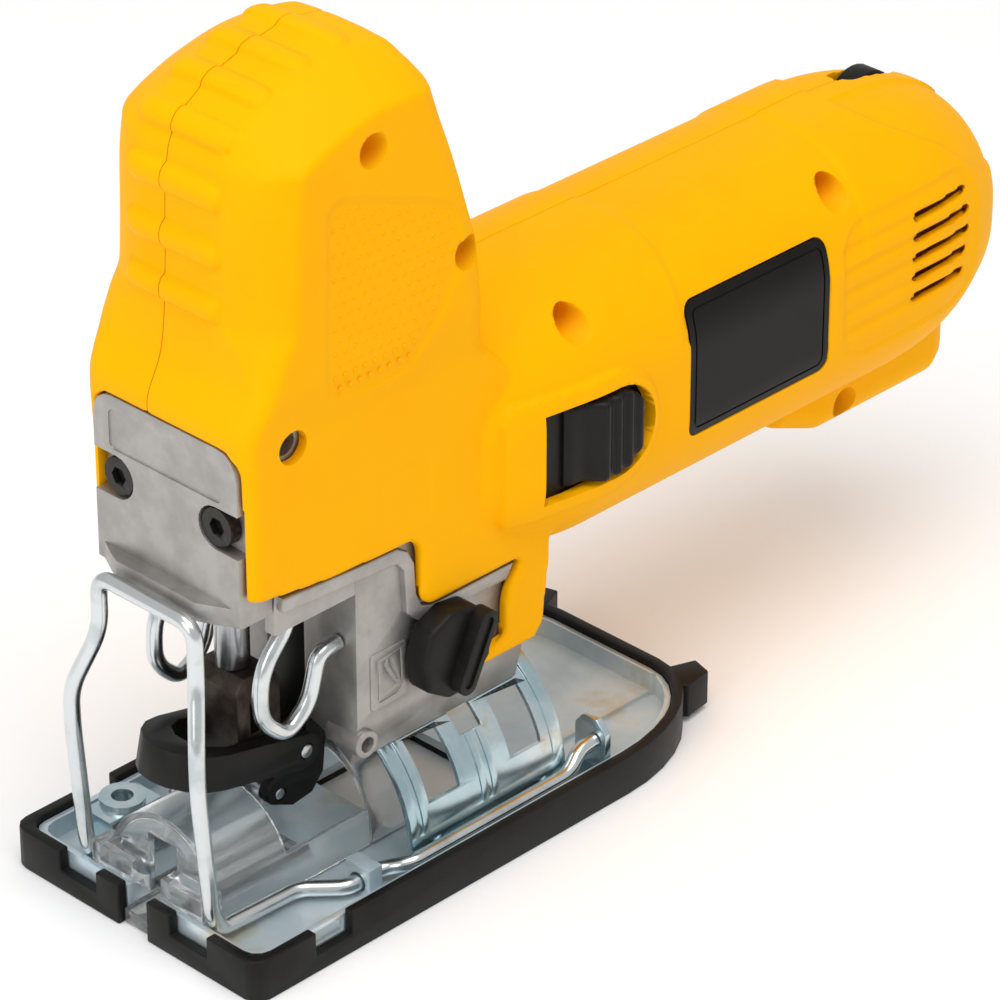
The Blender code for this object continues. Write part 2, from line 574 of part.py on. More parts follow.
def drive():
    gear = toothed("drive_gear", GEAR_TEETH, GEAR_WIDTH, GEAR_X, GEAR_Z, AXLE_RADIUS + GAP, STEEL, 0.25)
    hub = ring("gear_hub", "X", (GEAR_X + 0.5, 0, GEAR_Z), GEAR_WIDTH + 6.5, 8, AXLE_RADIUS + GAP)
    pin = rod("drive_pin", "X", (GEAR_X - 6.0, 0, YOKE_Z), 8, DRIVE_PIN_RADIUS)
    join(gear, [hub, pin])
    rod("gear_axle", "X", (GEAR_X + 0.4, 0, GEAR_Z), 25.0, AXLE_RADIUS, STEEL)
    plunger = rod("plunger", "Z", (BLADE_X, 0, CLAMP_TOP + GAP), 146 - CLAMP_TOP, ROD_RADIUS, STEEL)
    slot = rounded((-14.6, 14.6), (YOKE_Z - 3.4, YOKE_Z + 3.4), 3.3, 3)
    yoke = outline_plate("yoke", "YZ", [rounded((-17.2, 17.2), (YOKE_Z - 6.2, YOKE_Z + 6.2), 5, 2), slot],
                         BLADE_X + 2.2, GEAR_X - 6.4)
    keep = box("yoke_rod_clear", (BLADE_X + 2.2, GEAR_X - 6.4), (-5, 5), (YOKE_Z - 3.4, YOKE_Z + 3.4))
    join(plunger, [yoke])
    combine(plunger, [keep])
    for name, low, high in (
            ("lower_bush", CASE_FLOOR + 0.4, 95.0), ("upper_bush", CASE_TOP - 7.5, CASE_TOP + 2.5)):
        ring(name, "Z", (BLADE_X, 0, low), high - low, 6.5, ROD_RADIUS + GAP, BRONZE, 20)


def nose_cover():
    w = CASE_HALF_WIDTH - 0.2
    cover = outline_plate("nose_cover", "YZ", [round_topped(w, 81.9, COVER_TOP, 6)],
                          COVER_FRONT, CASE_FRONT - GAP, CAST)
    v = w - 0.2
    lip = outline_plate("nose_lip", "XY", [[(CASE_FRONT - 2, -v), (15.2, -v), (12.0, -16), (10.4, -12.5),
                                           (10.4, 12.5), (12.0, 16), (15.2, v),
                                           (CASE_FRONT - 2, v)]], 81.5, 86)
    join(cover, [lip])
    cuts = [outline_plate("cover_pocket", "YZ", [rounded((-w + 12.5, w - 12.5), (88, COVER_TOP - 4), 3)],
                          COVER_FRONT + 3.5, 60)]
    for side in (-1, 1):
        y = side * 15.4
        cuts.append(rod(f"cover_recess_{side}", "X", (5, y, 104), 5 + COVER_FRONT - 6.4, 5.2))
        cuts.append(box(f"cover_recess_way_{side}", (5, COVER_FRONT + 3.6),
                        sorted((y, side * 30)), (98.8, 109.2)))
        cuts.append(rod(f"cover_hole_{side}", "X", (5, y, 104), 40, 2.7, segments=14))
    combine(cover, cuts)
    for side, word in ((-1, "left"), (1, "right")):
        screw(f"nose_screw_{word}", "X", (COVER_FRONT + 3.6 - GAP, side * 15.4, 104), 4.6, 2.8, 2.4, 15)


def gear_case():
    w = CASE_HALF_WIDTH
    case = outline_plate("gear_case", "YZ", [round_topped(w, CASE_FLOOR, CASE_TOP, 7)],
                         CASE_FRONT, CASE_REAR, CAST)
    side = w - 0.1
    frame = outline_plate("frame_block", "YZ", [[
        (-19.4, 28), (-side, 42), (-side, 86), (side, 86), (side, 42), (19.4, 28)]], FRAME_FRONT, FRAME_REAR)
    seat = rod("saddle_seat", "X", (30, 0, BEVEL_Z), 90, SADDLE_RADIUS + GAP, segments=64)
    combine(frame, [seat])
    hollow = outline_plate("case_hollow", "YZ", [
        round_topped(w - CASE_WALL, CASE_FLOOR + CASE_WALL, CASE_TOP - CASE_WALL, 5)],
        CASE_FRONT + CASE_WALL, 59.5)
    combine(case, [hollow])
    rails = [box(f"case_rail_{side}", (CASE_FRONT, FRAME_FRONT + 2), sorted((side * 19.6, side * (w - 0.2))),
                 (76, 85))
             for side in (-1, 1)]
    posts = [rod(f"cover_post_{side}", "X", (CASE_FRONT + 1, side * 15.4, 104), 9.0, 5) for side in (-1, 1)]
    top_boss = rod("upper_bush_boss", "Z", (BLADE_X, 0, CASE_TOP - 7.5), 10, 9.0)
    floor_boss = rod("lower_bush_boss", "Z", (BLADE_X, 0, CASE_FLOOR + 1), 10, 8)
    corner = box("case_screw_boss", (CASE_FRONT + 1, 33.5), (-w + 1, -8.5), (117, 127))
    ear = rod("case_ear", "Y", (50.2, -20.2, 37.2), 7, 3.3)
    join(case, [frame, *rails, *posts, top_boss, floor_boss, corner, ear])
    holes = [
        rod("front_bearing_bore", "X", (FRONT_BEARING_X - 0.4, 0, MOTOR_Z), 30, FRONT_BEARING_RADIUS + GAP,
            segments=24),
        rod("shaft_way", "X", (50, 0, MOTOR_Z), 40, SHAFT_RADIUS + 1.5),
        rod("axle_bore", "X", (50, 0, GEAR_Z), 21.3, AXLE_RADIUS + GAP),
        rod("lower_bush_bore", "Z", (BLADE_X, 0, 60), 60, 6.5 + GAP),
        rod("upper_bush_bore", "Z", (BLADE_X, 0, 125), 40, 6.5 + GAP),
        box("fork_pocket", (40, 61), (-6, 6), (20, 80.5)),
        box("rear_pocket", (86, 110), (-17, 17), (20, 78)),
        rod("fan_clearance", "X", (FAN_X - 2.5, 0, MOTOR_Z), 20, FAN_RADIUS + 1, segments=28),
        rod("bevel_screw_hole", "Z", (BEVEL_SCREW_X, 0, 30), 26, BEVEL_SCREW_RADIUS + GAP, segments=14),
        rod("selector_bore", "Y", (SELECTOR_X, -30, SELECTOR_Z), 60, 4.0 + GAP),
        rod("fork_pin_bore", "Y", (FORK_PIVOT_X, -12.6, FORK_PIVOT_Z), 60, 2.0 + GAP, segments=14),
        rod("case_screw_pilot", "Y", (CASE_SCREW[0], -40, CASE_SCREW[1]), 29.5, SCREW_SHANK + GAP,
            segments=10),
        rod("case_screw_bore", "Y", (CASE_SCREW[0], -40, CASE_SCREW[1]), 40 + CASE_SCREW_SEAT_Y, 2.7 + GAP,
            segments=16),
        rod("ear_bore", "Y", (50.2, -30, 37.2), 13, 1.7, segments=12),
        outline_plate("case_front_window", "YZ", [rounded((-12, 12), (89, 119), 3)], 0, 30),
    ]
    for side in (-1, 1):
        holes.append(rod(f"cover_screw_way_{side}", "X", (10, side * 15.4, 104), 60 - 26,
                      2.4 + GAP, segments=14))
    combine(case, holes)


def orbit():
    fork = outline_plate("roller_fork", "XZ", [[
        *arc(FORK_PIVOT_X, FORK_PIVOT_Z, 4.6, 0, 180, 6), (48.6, 60), (48.4, 29), (46.5, 26.6), (41, 26.4),
        *arc(41.5, 21.5, 5, 110, 215, 5), (44, 15.6), (50, 16.4), (53.5, 20.5), (54.3, 28), (55.5, 60)]],
        -5.4, 5.4, BLACK)
    combine(fork, [
        box("roller_gap", (30, ROLLER_X + ROLLER_RADIUS + 1.2), (-2.6, 2.6), (10, 27.5)),
        rod("roller_pin_bore", "Y", (ROLLER_X, -10, ROLLER_Z), 20, 1.5 + GAP, segments=12),
        rod("fork_bore", "Y", (FORK_PIVOT_X, -10, FORK_PIVOT_Z), 20, 2.0 + GAP, segments=14)])
    ring("guide_roller", "Y", (ROLLER_X, -2.2, ROLLER_Z), 4.4, ROLLER_RADIUS, 1.5 + GAP, STEEL, 20)
    rod("roller_pin", "Y", (ROLLER_X, -5.2, ROLLER_Z), 10.4, 1.5, STEEL, 12)
    rod("fork_pivot_pin", "Y", (FORK_PIVOT_X, -12.3, FORK_PIVOT_Z), 34.6, 2.0, STEEL, 14)
    knob = rod("orbit_selector", "Y", (SELECTOR_X, -30, SELECTOR_Z), 6.9, SELECTOR_RADIUS, BLACK, 28)
    pointer = box("selector_pointer", (SELECTOR_X - 3, SELECTOR_X + 3), (-33.4, -29),
                  (SELECTOR_Z - 12, SELECTOR_Z + 12))
    centre = to_m(SELECTOR_X, 0, SELECTOR_Z)
    pointer.data.transform(Matrix.Translation(centre) @ Matrix.Rotation(radians(22), 4, "Y")
                           @ Matrix.Translation(-centre))
    shaft = rod("selector_shaft", "Y", (SELECTOR_X, -24, SELECTOR_Z), 45, 4.0)
    join(knob, [pointer, shaft])


def clamp():
    w = CLAMP_HALF_WIDTH
    body = outline_plate("blade_clamp_body", "XZ", [[
        (26.6, CLAMP_BOTTOM), (26.6, CLAMP_TOP - 3), (29, CLAMP_TOP), (37, CLAMP_TOP), (39.4, CLAMP_TOP - 4),
        (39.4, 38.5), (45.5, 37), (46.6, 34.5), (46.6, 31), (44.5, 29), (38, 29), (36, CLAMP_BOTTOM)]],
        -w, w, DARK_STEEL)
    combine(body, [
        box("blade_slot", (27.8, 36.4), (-0.8, 0.8), (20, 50)),
        rod("lever_pin_bore", "Y", (LEVER_PIN_X, -12, LEVER_PIN_Z), 24, LEVER_PIN_RADIUS + GAP, segments=14),
        box("clamp_side_window", (30.5, 35.5), (-10, 10), (41, 49))])
    rod("lever_pin", "Y", (LEVER_PIN_X, -11.6, LEVER_PIN_Z), 23.2, LEVER_PIN_RADIUS, STEEL, 14)
    outer = [(LEVER_PIN_X, 11.5), *arc(LEVER_PIN_X - 25, 0, 11.5, 90, 270, 8), (LEVER_PIN_X, -11.5)]
    inner = [(LEVER_PIN_X + 8, 7.6), *arc(LEVER_PIN_X - 20.6, 0, 8, 70, 290, 7), (LEVER_PIN_X + 8, -7.6)]
    lever = outline_plate("clamp_lever", "XY", [outer], LEVER_PIN_Z - 4.3, LEVER_PIN_Z + 4.3, BLACK)
    eyes = [rod(f"lever_eye_{side}", "Y", (LEVER_PIN_X, side * 9.5 - 1.8, LEVER_PIN_Z), 3.6, 4.2, segments=16)
            for side in (-1, 1)]
    join(lever, eyes)
    combine(lever, [outline_plate("lever_inside", "XY", [inner], LEVER_PIN_Z - 20, LEVER_PIN_Z + 20)])
    centre = to_m(LEVER_PIN_X, 0, LEVER_PIN_Z)
    lever.data.transform(Matrix.Translation(centre) @ Matrix.Rotation(radians(LEVER_TILT), 4, "Y")
                         @ Matrix.Translation(-centre))
    combine(lever, [rod("lever_bore", "Y", (LEVER_PIN_X, -20, LEVER_PIN_Z), 40, LEVER_PIN_RADIUS + GAP,
                        segments=14)])
    for side, word in ((-1, "left"), (1, "right")):
        y = side * 17.0
        wire(f"clamp_guard_{word}", [(33.5, y, CASE_FLOOR - GAP), (33.5, y, 74), (24.6, y, 64), (24.2, y, 52),
                                     (31.5, y, 45), (38.5, y, 50), (41.8, y, 61.5),
                                     (FRAME_FRONT - GAP, y, 62)], WIRE_RADIUS, 4, ZINC)


def shoe_outline(inset):
    """The plan of the shoe: square front with small corners, and a quarter ellipse at each rear corner."""
    w, corner = SHOE_WIDTH / 2 - inset, 4.0
    points = arc(inset + corner, -w + corner, corner, 180, 270, 3)
    curve = [(SHOE_LENGTH - 36 + (36 - inset) * sin(a), -w + (24 - inset) * (1 - cos(a)))
             for a in (radians(90 * i / 8) for i in range(9))]
    points += curve + [(x, -y) for x, y in reversed(curve)]
    return points + arc(inset + corner, w - corner, corner, 90, 180, 3)


def slot_and_windows(tag, half_width):
    return [box(f"blade_way_{tag}", (-5, SLOT_END), (-half_width, half_width), (-5, 40)),
            box(f"key_window_{tag}", (66, 98), (-13, 13), (-5, 40))]


def shoe():
    overshoe = outline_plate("overshoe", "XY", [shoe_outline(0)], 0, OVERSHOE_HEIGHT, BLACK)
    tabs = [outline_plate(f"rear_tab_{side}", "XY", [[
        (146, side * 23), (152, side * 20), (158.5, side * 22.5),
                                                     (157, side * 28), (149, side * 29)]], 1.5, 10.5)
            for side in (-1, 1)]
    join(overshoe, tabs)
    notches = [box("overshoe_notches",
                   (FENCE_X - FENCE_WIDTH / 2, FENCE_X + FENCE_WIDTH / 2), (-60, 60), (4.6, 40)),
               box("front_notch_left", (-5, OVERSHOE_WALL + 0.2), (-24, -12), (5, 40)),
               box("front_notch_right", (-5, OVERSHOE_WALL + 0.2), (12, 24), (5, 40))]
    combine(overshoe, [outline_plate("overshoe_inside", "XY", [shoe_outline(OVERSHOE_WALL)],
                               OVERSHOE_FLOOR, 60),
                       *notches, *slot_and_windows("overshoe", SLOT_HALF_WIDTH)])
    edge = OVERSHOE_WALL + GAP
    plate = outline_plate("shoe_plate", "XY", [shoe_outline(edge)], PLATE_Z, RIM_HEIGHT, ZINC)
    inside = outline_plate("plate_inside", "XY", [shoe_outline(edge + RIM_THICKNESS)], PLATE_TOP, 60)
    combine(plate, [inside])
    wire_y = SHOE_WIDTH / 2 - edge - RIM_THICKNESS - GAP - WIRE_RADIUS
    clips = [box(f"wire_clip_{side}", (42, 46), sorted((side * 24.2, side * 31.8)), (PLATE_TOP - 0.5, 11))
             for side in (-1, 1)]
    join(plate, clips)
    holes = [rod(f"wire_clip_bore_{side}", "X", (35, side * 28, 6.6), 16, WIRE_RADIUS + GAP + 0.25,
                 segments=14)
             for side in (-1, 1)]
    holes.append(box("fence_window",
                     (FENCE_X - FENCE_WIDTH / 2, FENCE_X + FENCE_WIDTH / 2), (-60, 60), (4.6, 8)))
    holes += [rod(f"rivet_hole_{x}_{y}", "Z", (x, y, -5), 30, 1.7 + GAP, segments=12) for x, y in RIVETS]
    combine(plate, holes + slot_and_windows("plate", SLOT_HALF_WIDTH))
    bush = ring("fence_bush", "Z", (BUSH_X, BUSH_Y, 8.6), 3.4, 5.4, 2.6, ZINC, 20)
    feet = [box(f"bush_foot_{x}", (x, x + 2), (BUSH_Y - 4.4, BUSH_Y + 4.4), (PLATE_TOP + GAP, 10))
            for x in (BUSH_X - FENCE_WIDTH / 2 - 2.3, BUSH_X + FENCE_WIDTH / 2 + 0.3)]
    bridge = box("bush_bridge", (BUSH_X - FENCE_WIDTH / 2 - 2.3, BUSH_X + FENCE_WIDTH / 2 + 2.3),
                 (BUSH_Y - 4.4, BUSH_Y + 4.4), (8.6, 10))
    combine(bridge, [rod("bridge_bore", "Z", (BUSH_X, BUSH_Y, 0), 30, 4.0)])
    join(bush, [bridge, *feet])
    return wire_y


RIVETS = [(64.0, -31.2), (98.0, -31.2), (64.0, 31.2), (98.0, 31.2)]


def saddle():
    outer, inner = SADDLE_RADIUS, SADDLE_RADIUS - SADDLE_THICKNESS
    edge = SHOE_WIDTH / 2 - OVERSHOE_WALL - GAP - RIM_THICKNESS - GAP
    top = arc(0, BEVEL_Z, outer, 180, 0, 24)
    under = arc(0, BEVEL_Z, inner, 0, 180, 24)
    outline = [(-edge, FLANGE_Z), (-edge, FLANGE_TOP), (-outer, FLANGE_TOP), *top, (outer, FLANGE_TOP),
               (edge, FLANGE_TOP), (edge, FLANGE_Z), (inner, FLANGE_Z), *under, (-inner, FLANGE_Z)]
    arch = outline_plate("bevel_saddle", "YZ", [outline], SADDLE_X0, SADDLE_X1, ZINC)
    ends = []
    for side in (-1, 1):
        span = sorted((side * inner, side * edge))
        ends.append(box(f"flange_front_{side}", (54.5, SADDLE_X0 + 1), span, (FLANGE_Z, FLANGE_TOP)))
        ends.append(box(f"flange_rear_{side}", (SADDLE_X1 - 1, 116), span, (FLANGE_Z, FLANGE_TOP)))
        ends.append(outline_plate(f"saddle_ear_{side}", "YZ", [
            [(side * 25.5, FLANGE_Z), (side * edge, FLANGE_Z), (side * edge, 15), (side * (edge - 3), 18),
             (side * 28, 18), (side * 25.5, 15)]], 114.2, 116))
    join(arch, ends)
    cuts = [rod(f"flange_hole_{x}_{y}", "Z", (x, y, -5), 14, 1.7 + GAP, segments=12) for x, y in RIVETS]
    slot = outline_plate("bevel_slot", "YZ", [[(0, BEVEL_Z), *arc(0, BEVEL_Z, 50, 38, 142, 8)]],
                         BEVEL_SCREW_X - BEVEL_SCREW_RADIUS - 0.5, BEVEL_SCREW_X + BEVEL_SCREW_RADIUS + 0.5)
    cuts.append(slot)
    for side in (-1, 1):
        for x in (64.0, 90.0):
            start, end = (18, 48) if side > 0 else (132, 162)
            cuts.append(outline_plate(f"saddle_window_{side}_{x}", "YZ", [
                [(0, BEVEL_Z), *arc(0, BEVEL_Z, 50, start, end, 4)]], x, x + 10))
    combine(arch, cuts)
    for i, (x, y) in enumerate(RIVETS):
        rod(f"saddle_rivet_{i + 1}", "Z", (x, y, PLATE_Z + 0.1), FLANGE_TOP + 0.2 - PLATE_Z, 1.7, ZINC, 12)
    r = inner - GAP
    clamp_plate = outline_plate("bevel_clamp_plate", "YZ", [
        [*arc(0, BEVEL_Z, r, 68, 112, 8), *arc(0, BEVEL_Z, r - 2.4, 112, 68, 8)]],
        BEVEL_SCREW_X - 8, BEVEL_SCREW_X + 8, ZINC)
    combine(clamp_plate, [rod("clamp_plate_hole", "Z", (BEVEL_SCREW_X, 0, 0), 60, BEVEL_SCREW_RADIUS + GAP,
                              segments=14)])
    seat_z = BEVEL_Z + (r - 2.4) * cos(asin_safe(5.0 / (r - 2.4))) - GAP
    screw("bevel_screw", "Z", (BEVEL_SCREW_X, 0, seat_z), 5.0, 4.2, BEVEL_SCREW_RADIUS, 22)


def asin_safe(value):
    return atan2(value, sqrt(max(1 - value * value, 1e-9)))


def guards(wire_y):
    low = FLANGE_TOP + GAP + WIRE_RADIUS + 0.35
    run = PLATE_TOP + WIRE_RADIUS + 0.5
    right = [(7.6, 15.3, 82.5), (7.6, 15.3, 69), (2.6, 20.2, 54), (2.6, 20.2, 44), (5.2, 20.4, 12.5),
             (7.5, 20.4, run + 1), (31, 20.3, run), (36, 25, run), (39, 28, 6.6), (49.5, 28, 6.6),
             (53.5, wire_y, low), (60, wire_y, low), (104, wire_y, low), (109, wire_y - 1.5, 12),
             (114.2 - GAP, wire_y - 1.5, 12.5)]
    right = [Vector((max(x, WIRE_RADIUS + 0.3), y, z)) for x, y, z in right]
    left = [Vector((x, -y, z)) for x, y, z in reversed(right)]
    wire("guard_wire", left + right, WIRE_RADIUS, 4, ZINC)
    shield = outline_plate("chip_shield", "YZ", [[
        (-SHIELD_RADIUS, FLANGE_Z), *arc(0, BEVEL_Z, SHIELD_RADIUS, 180, 0, 20), (SHIELD_RADIUS, FLANGE_Z)]],
        9.5, SADDLE_X0 - 0.5, CLEAR)
    r = SHIELD_RADIUS - SHIELD_WALL
    inside = outline_plate("shield_inside", "YZ", [[
        (-r, 0), *arc(0, BEVEL_Z, r, 180, 0, 20), (r, 0)]], 9.5 + SHIELD_WALL, 80)
    open_top = outline_plate("shield_open_top", "YZ", [
        [(0, BEVEL_Z), *arc(0, BEVEL_Z, 50, 19, 161, 8)]], 31.5, 80)
    blade_way = box("shield_blade_way", (0, 20), (-4.6, 4.6), (0, 20))
    bar = box("shield_bar", (4.5, 10.5), (-18, 18), (8.5, 14.5))
    join(shield, [bar])
    combine(shield, [inside, open_top, blade_way])
    sleeve = [*arc(0, BEVEL_Z, SHIELD_RADIUS - 0.2, 180, 0, 18), (SHIELD_RADIUS - 0.2, PLATE_TOP + GAP),
              (r, PLATE_TOP + GAP), *arc(0, BEVEL_Z, r, 0, 180, 18), (-r, PLATE_TOP + GAP),
              (-SHIELD_RADIUS + 0.2, PLATE_TOP + GAP)]
    outline_plate("dust_sleeve", "YZ", [sleeve], SADDLE_X0, 72, CLEAR)
    insert = box("splinter_insert", (1.5, SLOT_END - GAP), (-SLOT_HALF_WIDTH + GAP, SLOT_HALF_WIDTH - GAP),
                 (0.3, PLATE_TOP), CLEAR)
    join(insert, [box("insert_flange", (12.5, 42), (-7, 7), (PLATE_TOP - 0.0, PLATE_TOP + 1.2))])
    combine(insert, [box("insert_blade_slit", (20, 60), (-0.9, 0.9), (-5, 20))])


def controls():
    x0, x1 = SWITCH_X
    z0, z1 = SWITCH_Z
    slider = box("switch_slider", (x0 - 3, x1 + 5), (-28.3, -26.9), (z0 - 2.4, z1 + 2.4), BLACK)
    cap = outline_plate("switch_cap", "XZ", [
        [(x0 + 7.5, z0 + 1.2), *arc(x1 - 12.0, 91.75, 10.2, -90, 90, 8), (x0 + 7.5, z1 - 1.2)]], -35.0, -27.5)
    join(slider, [cap])
    box("switch_module", (111, 135), (-26.5, -12), (84, 102), BLACK)
    ring("speed_dial", "Y", (DIAL_X, DIAL_Y - 2.8, DIAL_Z), 5.6, DIAL_RADIUS, 2.2, BLACK, 28)
    module = box("speed_module", (DIAL_X - 5, DIAL_X + 5),
                 (-8, DIAL_Y - 3.3), (DIAL_Z - 8, DIAL_Z + 3), BLACK)
    join(module, [rod("dial_stub", "Y", (DIAL_X, 0, DIAL_Z), DIAL_Y + 2.5, 1.9, segments=12)])
    inlet = rod("power_inlet", "X", (236.4, 0, 57.2), 10, 6.7, BLACK)
    join(inlet, [rod(f"inlet_pin_{side}", "X", (244, side * 2.6, 57.2), 9.2, 1.1,
                     segments=10) for side in (-1, 1)])


def hang(name, pivot):
    """Put the object's origin on its joint's axis, with its shape left in place."""
    obj = bpy.data.objects[name]
    turn = Matrix.Translation(to_m(*pivot))
    obj.data.transform(turn.inverted() @ obj.matrix_world)
    obj.matrix_world = turn


def hang_moving_pieces():
    axle, fork = (GEAR_X, 0, GEAR_Z), (FORK_PIVOT_X, 0, FORK_PIVOT_Z)
    for name in ("armature_shaft", "armature_core", "commutator", "cooling_fan"):
        hang(name, (GEAR_X, 0, MOTOR_Z))
    for name in ("roller_fork", "roller_pin"):
        hang(name, fork)
    for name in ("plunger", "blade_clamp_body", "lever_pin"):
        hang(name, (BLADE_X, 0, CLAMP_BOTTOM))
    hang("drive_gear", axle)
    hang("guide_roller", (ROLLER_X, 0, ROLLER_Z))
    hang("clamp_lever", (LEVER_PIN_X, 0, LEVER_PIN_Z))
    hang("orbit_selector", (SELECTOR_X, 0, SELECTOR_Z))
    hang("switch_slider", (SWITCH_X[0], 0, SWITCH_Z[0]))
    hang("speed_dial", (DIAL_X, DIAL_Y, DIAL_Z))


housing()
housing_screws()
motor()
drive()
nose_cover()
gear_case()
orbit()
clamp()
WIRE_Y = shoe()
saddle()
guards(WIRE_Y)
controls()
hang_moving_pieces()
for obj in TOOL.objects:
    obj.data.shade_smooth()
    obj.data.set_sharp_from_angle(angle=radians(35))
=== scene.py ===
"""Body-grip jigsaw: the moulded casing, castings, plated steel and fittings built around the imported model.

Shapes are written in millimetres from the shoe's front edge (x back, y to the tool's right, z up from the
sole); at() turns them into metres in the model's frame.
"""
import json
from math import cos, pi, radians, sin, sqrt

import bmesh
import bpy
import numpy as np
from mathutils import Matrix, Vector


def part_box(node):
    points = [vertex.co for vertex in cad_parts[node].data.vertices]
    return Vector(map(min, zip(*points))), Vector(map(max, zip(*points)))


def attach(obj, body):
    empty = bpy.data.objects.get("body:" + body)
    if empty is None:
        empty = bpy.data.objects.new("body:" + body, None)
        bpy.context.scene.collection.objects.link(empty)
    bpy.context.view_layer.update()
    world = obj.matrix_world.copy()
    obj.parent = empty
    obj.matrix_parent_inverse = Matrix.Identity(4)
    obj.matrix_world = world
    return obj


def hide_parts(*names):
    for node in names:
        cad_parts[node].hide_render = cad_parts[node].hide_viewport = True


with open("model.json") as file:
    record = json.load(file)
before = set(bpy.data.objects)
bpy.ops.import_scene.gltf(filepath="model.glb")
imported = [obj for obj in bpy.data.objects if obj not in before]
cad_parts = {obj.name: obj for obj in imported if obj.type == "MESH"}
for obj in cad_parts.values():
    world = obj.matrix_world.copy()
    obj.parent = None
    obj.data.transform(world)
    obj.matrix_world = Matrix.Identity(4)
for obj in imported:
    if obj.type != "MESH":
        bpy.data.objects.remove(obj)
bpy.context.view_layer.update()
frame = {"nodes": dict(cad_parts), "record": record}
NODES = frame["nodes"]
BODY_OF = {n: b for b, names in frame["record"]["behaviour"]["bodies"].items() for n in names}
SLOT_OF = {part["node"]: part["material_slot"] for part in frame["record"]["subparts"]}
for name in ("Cube", "Light", "Camera"):
    if name in bpy.data.objects:
        bpy.data.objects.remove(bpy.data.objects[name])

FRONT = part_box("overshoe")[0].x
SEAM_Y = 5.0
GAP = 0.3


def at(x, y, z):
    return Vector((FRONT + x / 1000, y / 1000, z / 1000))


# ---------------------------------------------------------------- materials

def hex_colour(code):
    """The linear colour of an sRGB hex value."""
    parts = [int(code[i:i + 2], 16) / 255 for i in (1, 3, 5)]
    return (*[p / 12.92 if p <= 0.04045 else ((p + 0.055) / 1.055) ** 2.4 for p in parts], 1.0)


def add(tree, kind, values=None, links=None, **settings):
    """A new node with its settings, its inputs' values and its inputs' links."""
    node = tree.nodes.new(kind)
    for key, value in settings.items():
        setattr(node, key, value)
    for key, value in (values or {}).items():
        node.inputs[key].default_value = value
    for key, source in (links or {}).items():
        tree.links.new(source, node.inputs[key])
    return node


def finish(name, tones, roughness, metallic=0.0, patch=18.0, grain=0.6, depth=0.02, **sockets):
    """A material of two or three tones in soft patches, with a fine surface grain. Patch, grain and depth are mm."""
    made = bpy.data.materials.new(name)
    made.use_nodes = True
    tree = made.node_tree
    tree.nodes.clear()
    place = add(tree, "ShaderNodeTexCoord")
    cloud = add(tree, "ShaderNodeTexNoise", {"Scale": 1000 / patch, "Detail": 4.0, "Roughness": 0.6},
                {"Vector": place.outputs["Object"]})
    ramp = add(tree, "ShaderNodeValToRGB", links={"Fac": cloud.outputs["Fac"]})
    ramp.color_ramp.elements[0].position, ramp.color_ramp.elements[0].color = 0.35, hex_colour(tones[0])
    ramp.color_ramp.elements[1].position, ramp.color_ramp.elements[1].color = 0.5, hex_colour(tones[1])
    for i, tone in enumerate(tones[2:]):
        step = ramp.color_ramp.elements.new(0.6 + 0.08 * i)
        step.color = hex_colour(tone)
    fine = add(tree, "ShaderNodeTexNoise", {"Scale": 1000 / grain, "Detail": 2.0, "Roughness": 0.5},
               {"Vector": place.outputs["Object"]})
    bump = add(tree, "ShaderNodeBump", {"Strength": 1.0, "Distance": depth / 1000},
               {"Height": fine.outputs["Fac"]})
    spread = add(tree, "ShaderNodeMapRange", {"To Min": roughness[0], "To Max": roughness[1]},
                 {"Value": cloud.outputs["Fac"]})
    shader = add(tree, "ShaderNodeBsdfPrincipled", {"Metallic": metallic, **sockets},
                 {"Base Color": ramp.outputs["Color"], "Roughness": spread.outputs["Result"],
                  "Normal": bump.outputs["Normal"]})
    add(tree, "ShaderNodeOutputMaterial", links={"Surface": shader.outputs["BSDF"]})
    return made


# Glass-filled nylon moulded in a spark-eroded tool: an even, fine satin skin over a deep yellow
YELLOW = finish("moulded_yellow_nylon", ("#FFB100", "#FFB400"), (0.42, 0.52), patch=30, grain=0.7, depth=0.012,
                **{"Specular IOR Level": 0.04})
# Die-cast aluminium, tumbled: a dull warm grey with a cloudy, pebbled skin
CAST = finish("tumbled_cast_aluminium", ("#A29F9B", "#ABA8A4", "#B3B0AC"), (0.40, 0.56), 0.9, 9, 0.8, 0.04)
# Bright zinc plate with a blue passivate: cool grey with faint iridescent clouds and a rolled sheen
ZINC = finish("passivated_zinc_plate", ("#A9C4CC", "#BFD3D9", "#D3DEE1", "#C9BC98"), (0.14, 0.32), 0.95, 22, 0.9,
              0.010)
# The same zinc plate on the rolled shoe, in a lighter colour and less metallic than the plate above: painted light, a
# painted reflection standing in for the bright light the shoe mirrors, where it would otherwise mirror the tool's dark
# underside
SHEET_PAINTED_BRIGHT = finish("zinc_sheet_painted_bright", ("#B4C6CF", "#C6D6DE", "#D2DDE1", "#CBC6B2"), (0.26, 0.44), 0.45, 26, 0.9, 0.010)
WIRE = finish("plated_spring_wire", ("#BFC6C8", "#D6DADB"), (0.16, 0.30), 1.0, 12, 0.7, 0.012)
# Black oxide on machined screws: near black with a dry metallic sheen
OXIDE = finish("black_oxide_steel", ("#24221F", "#34312D"), (0.32, 0.48), 0.7, 4, 0.4, 0.02)
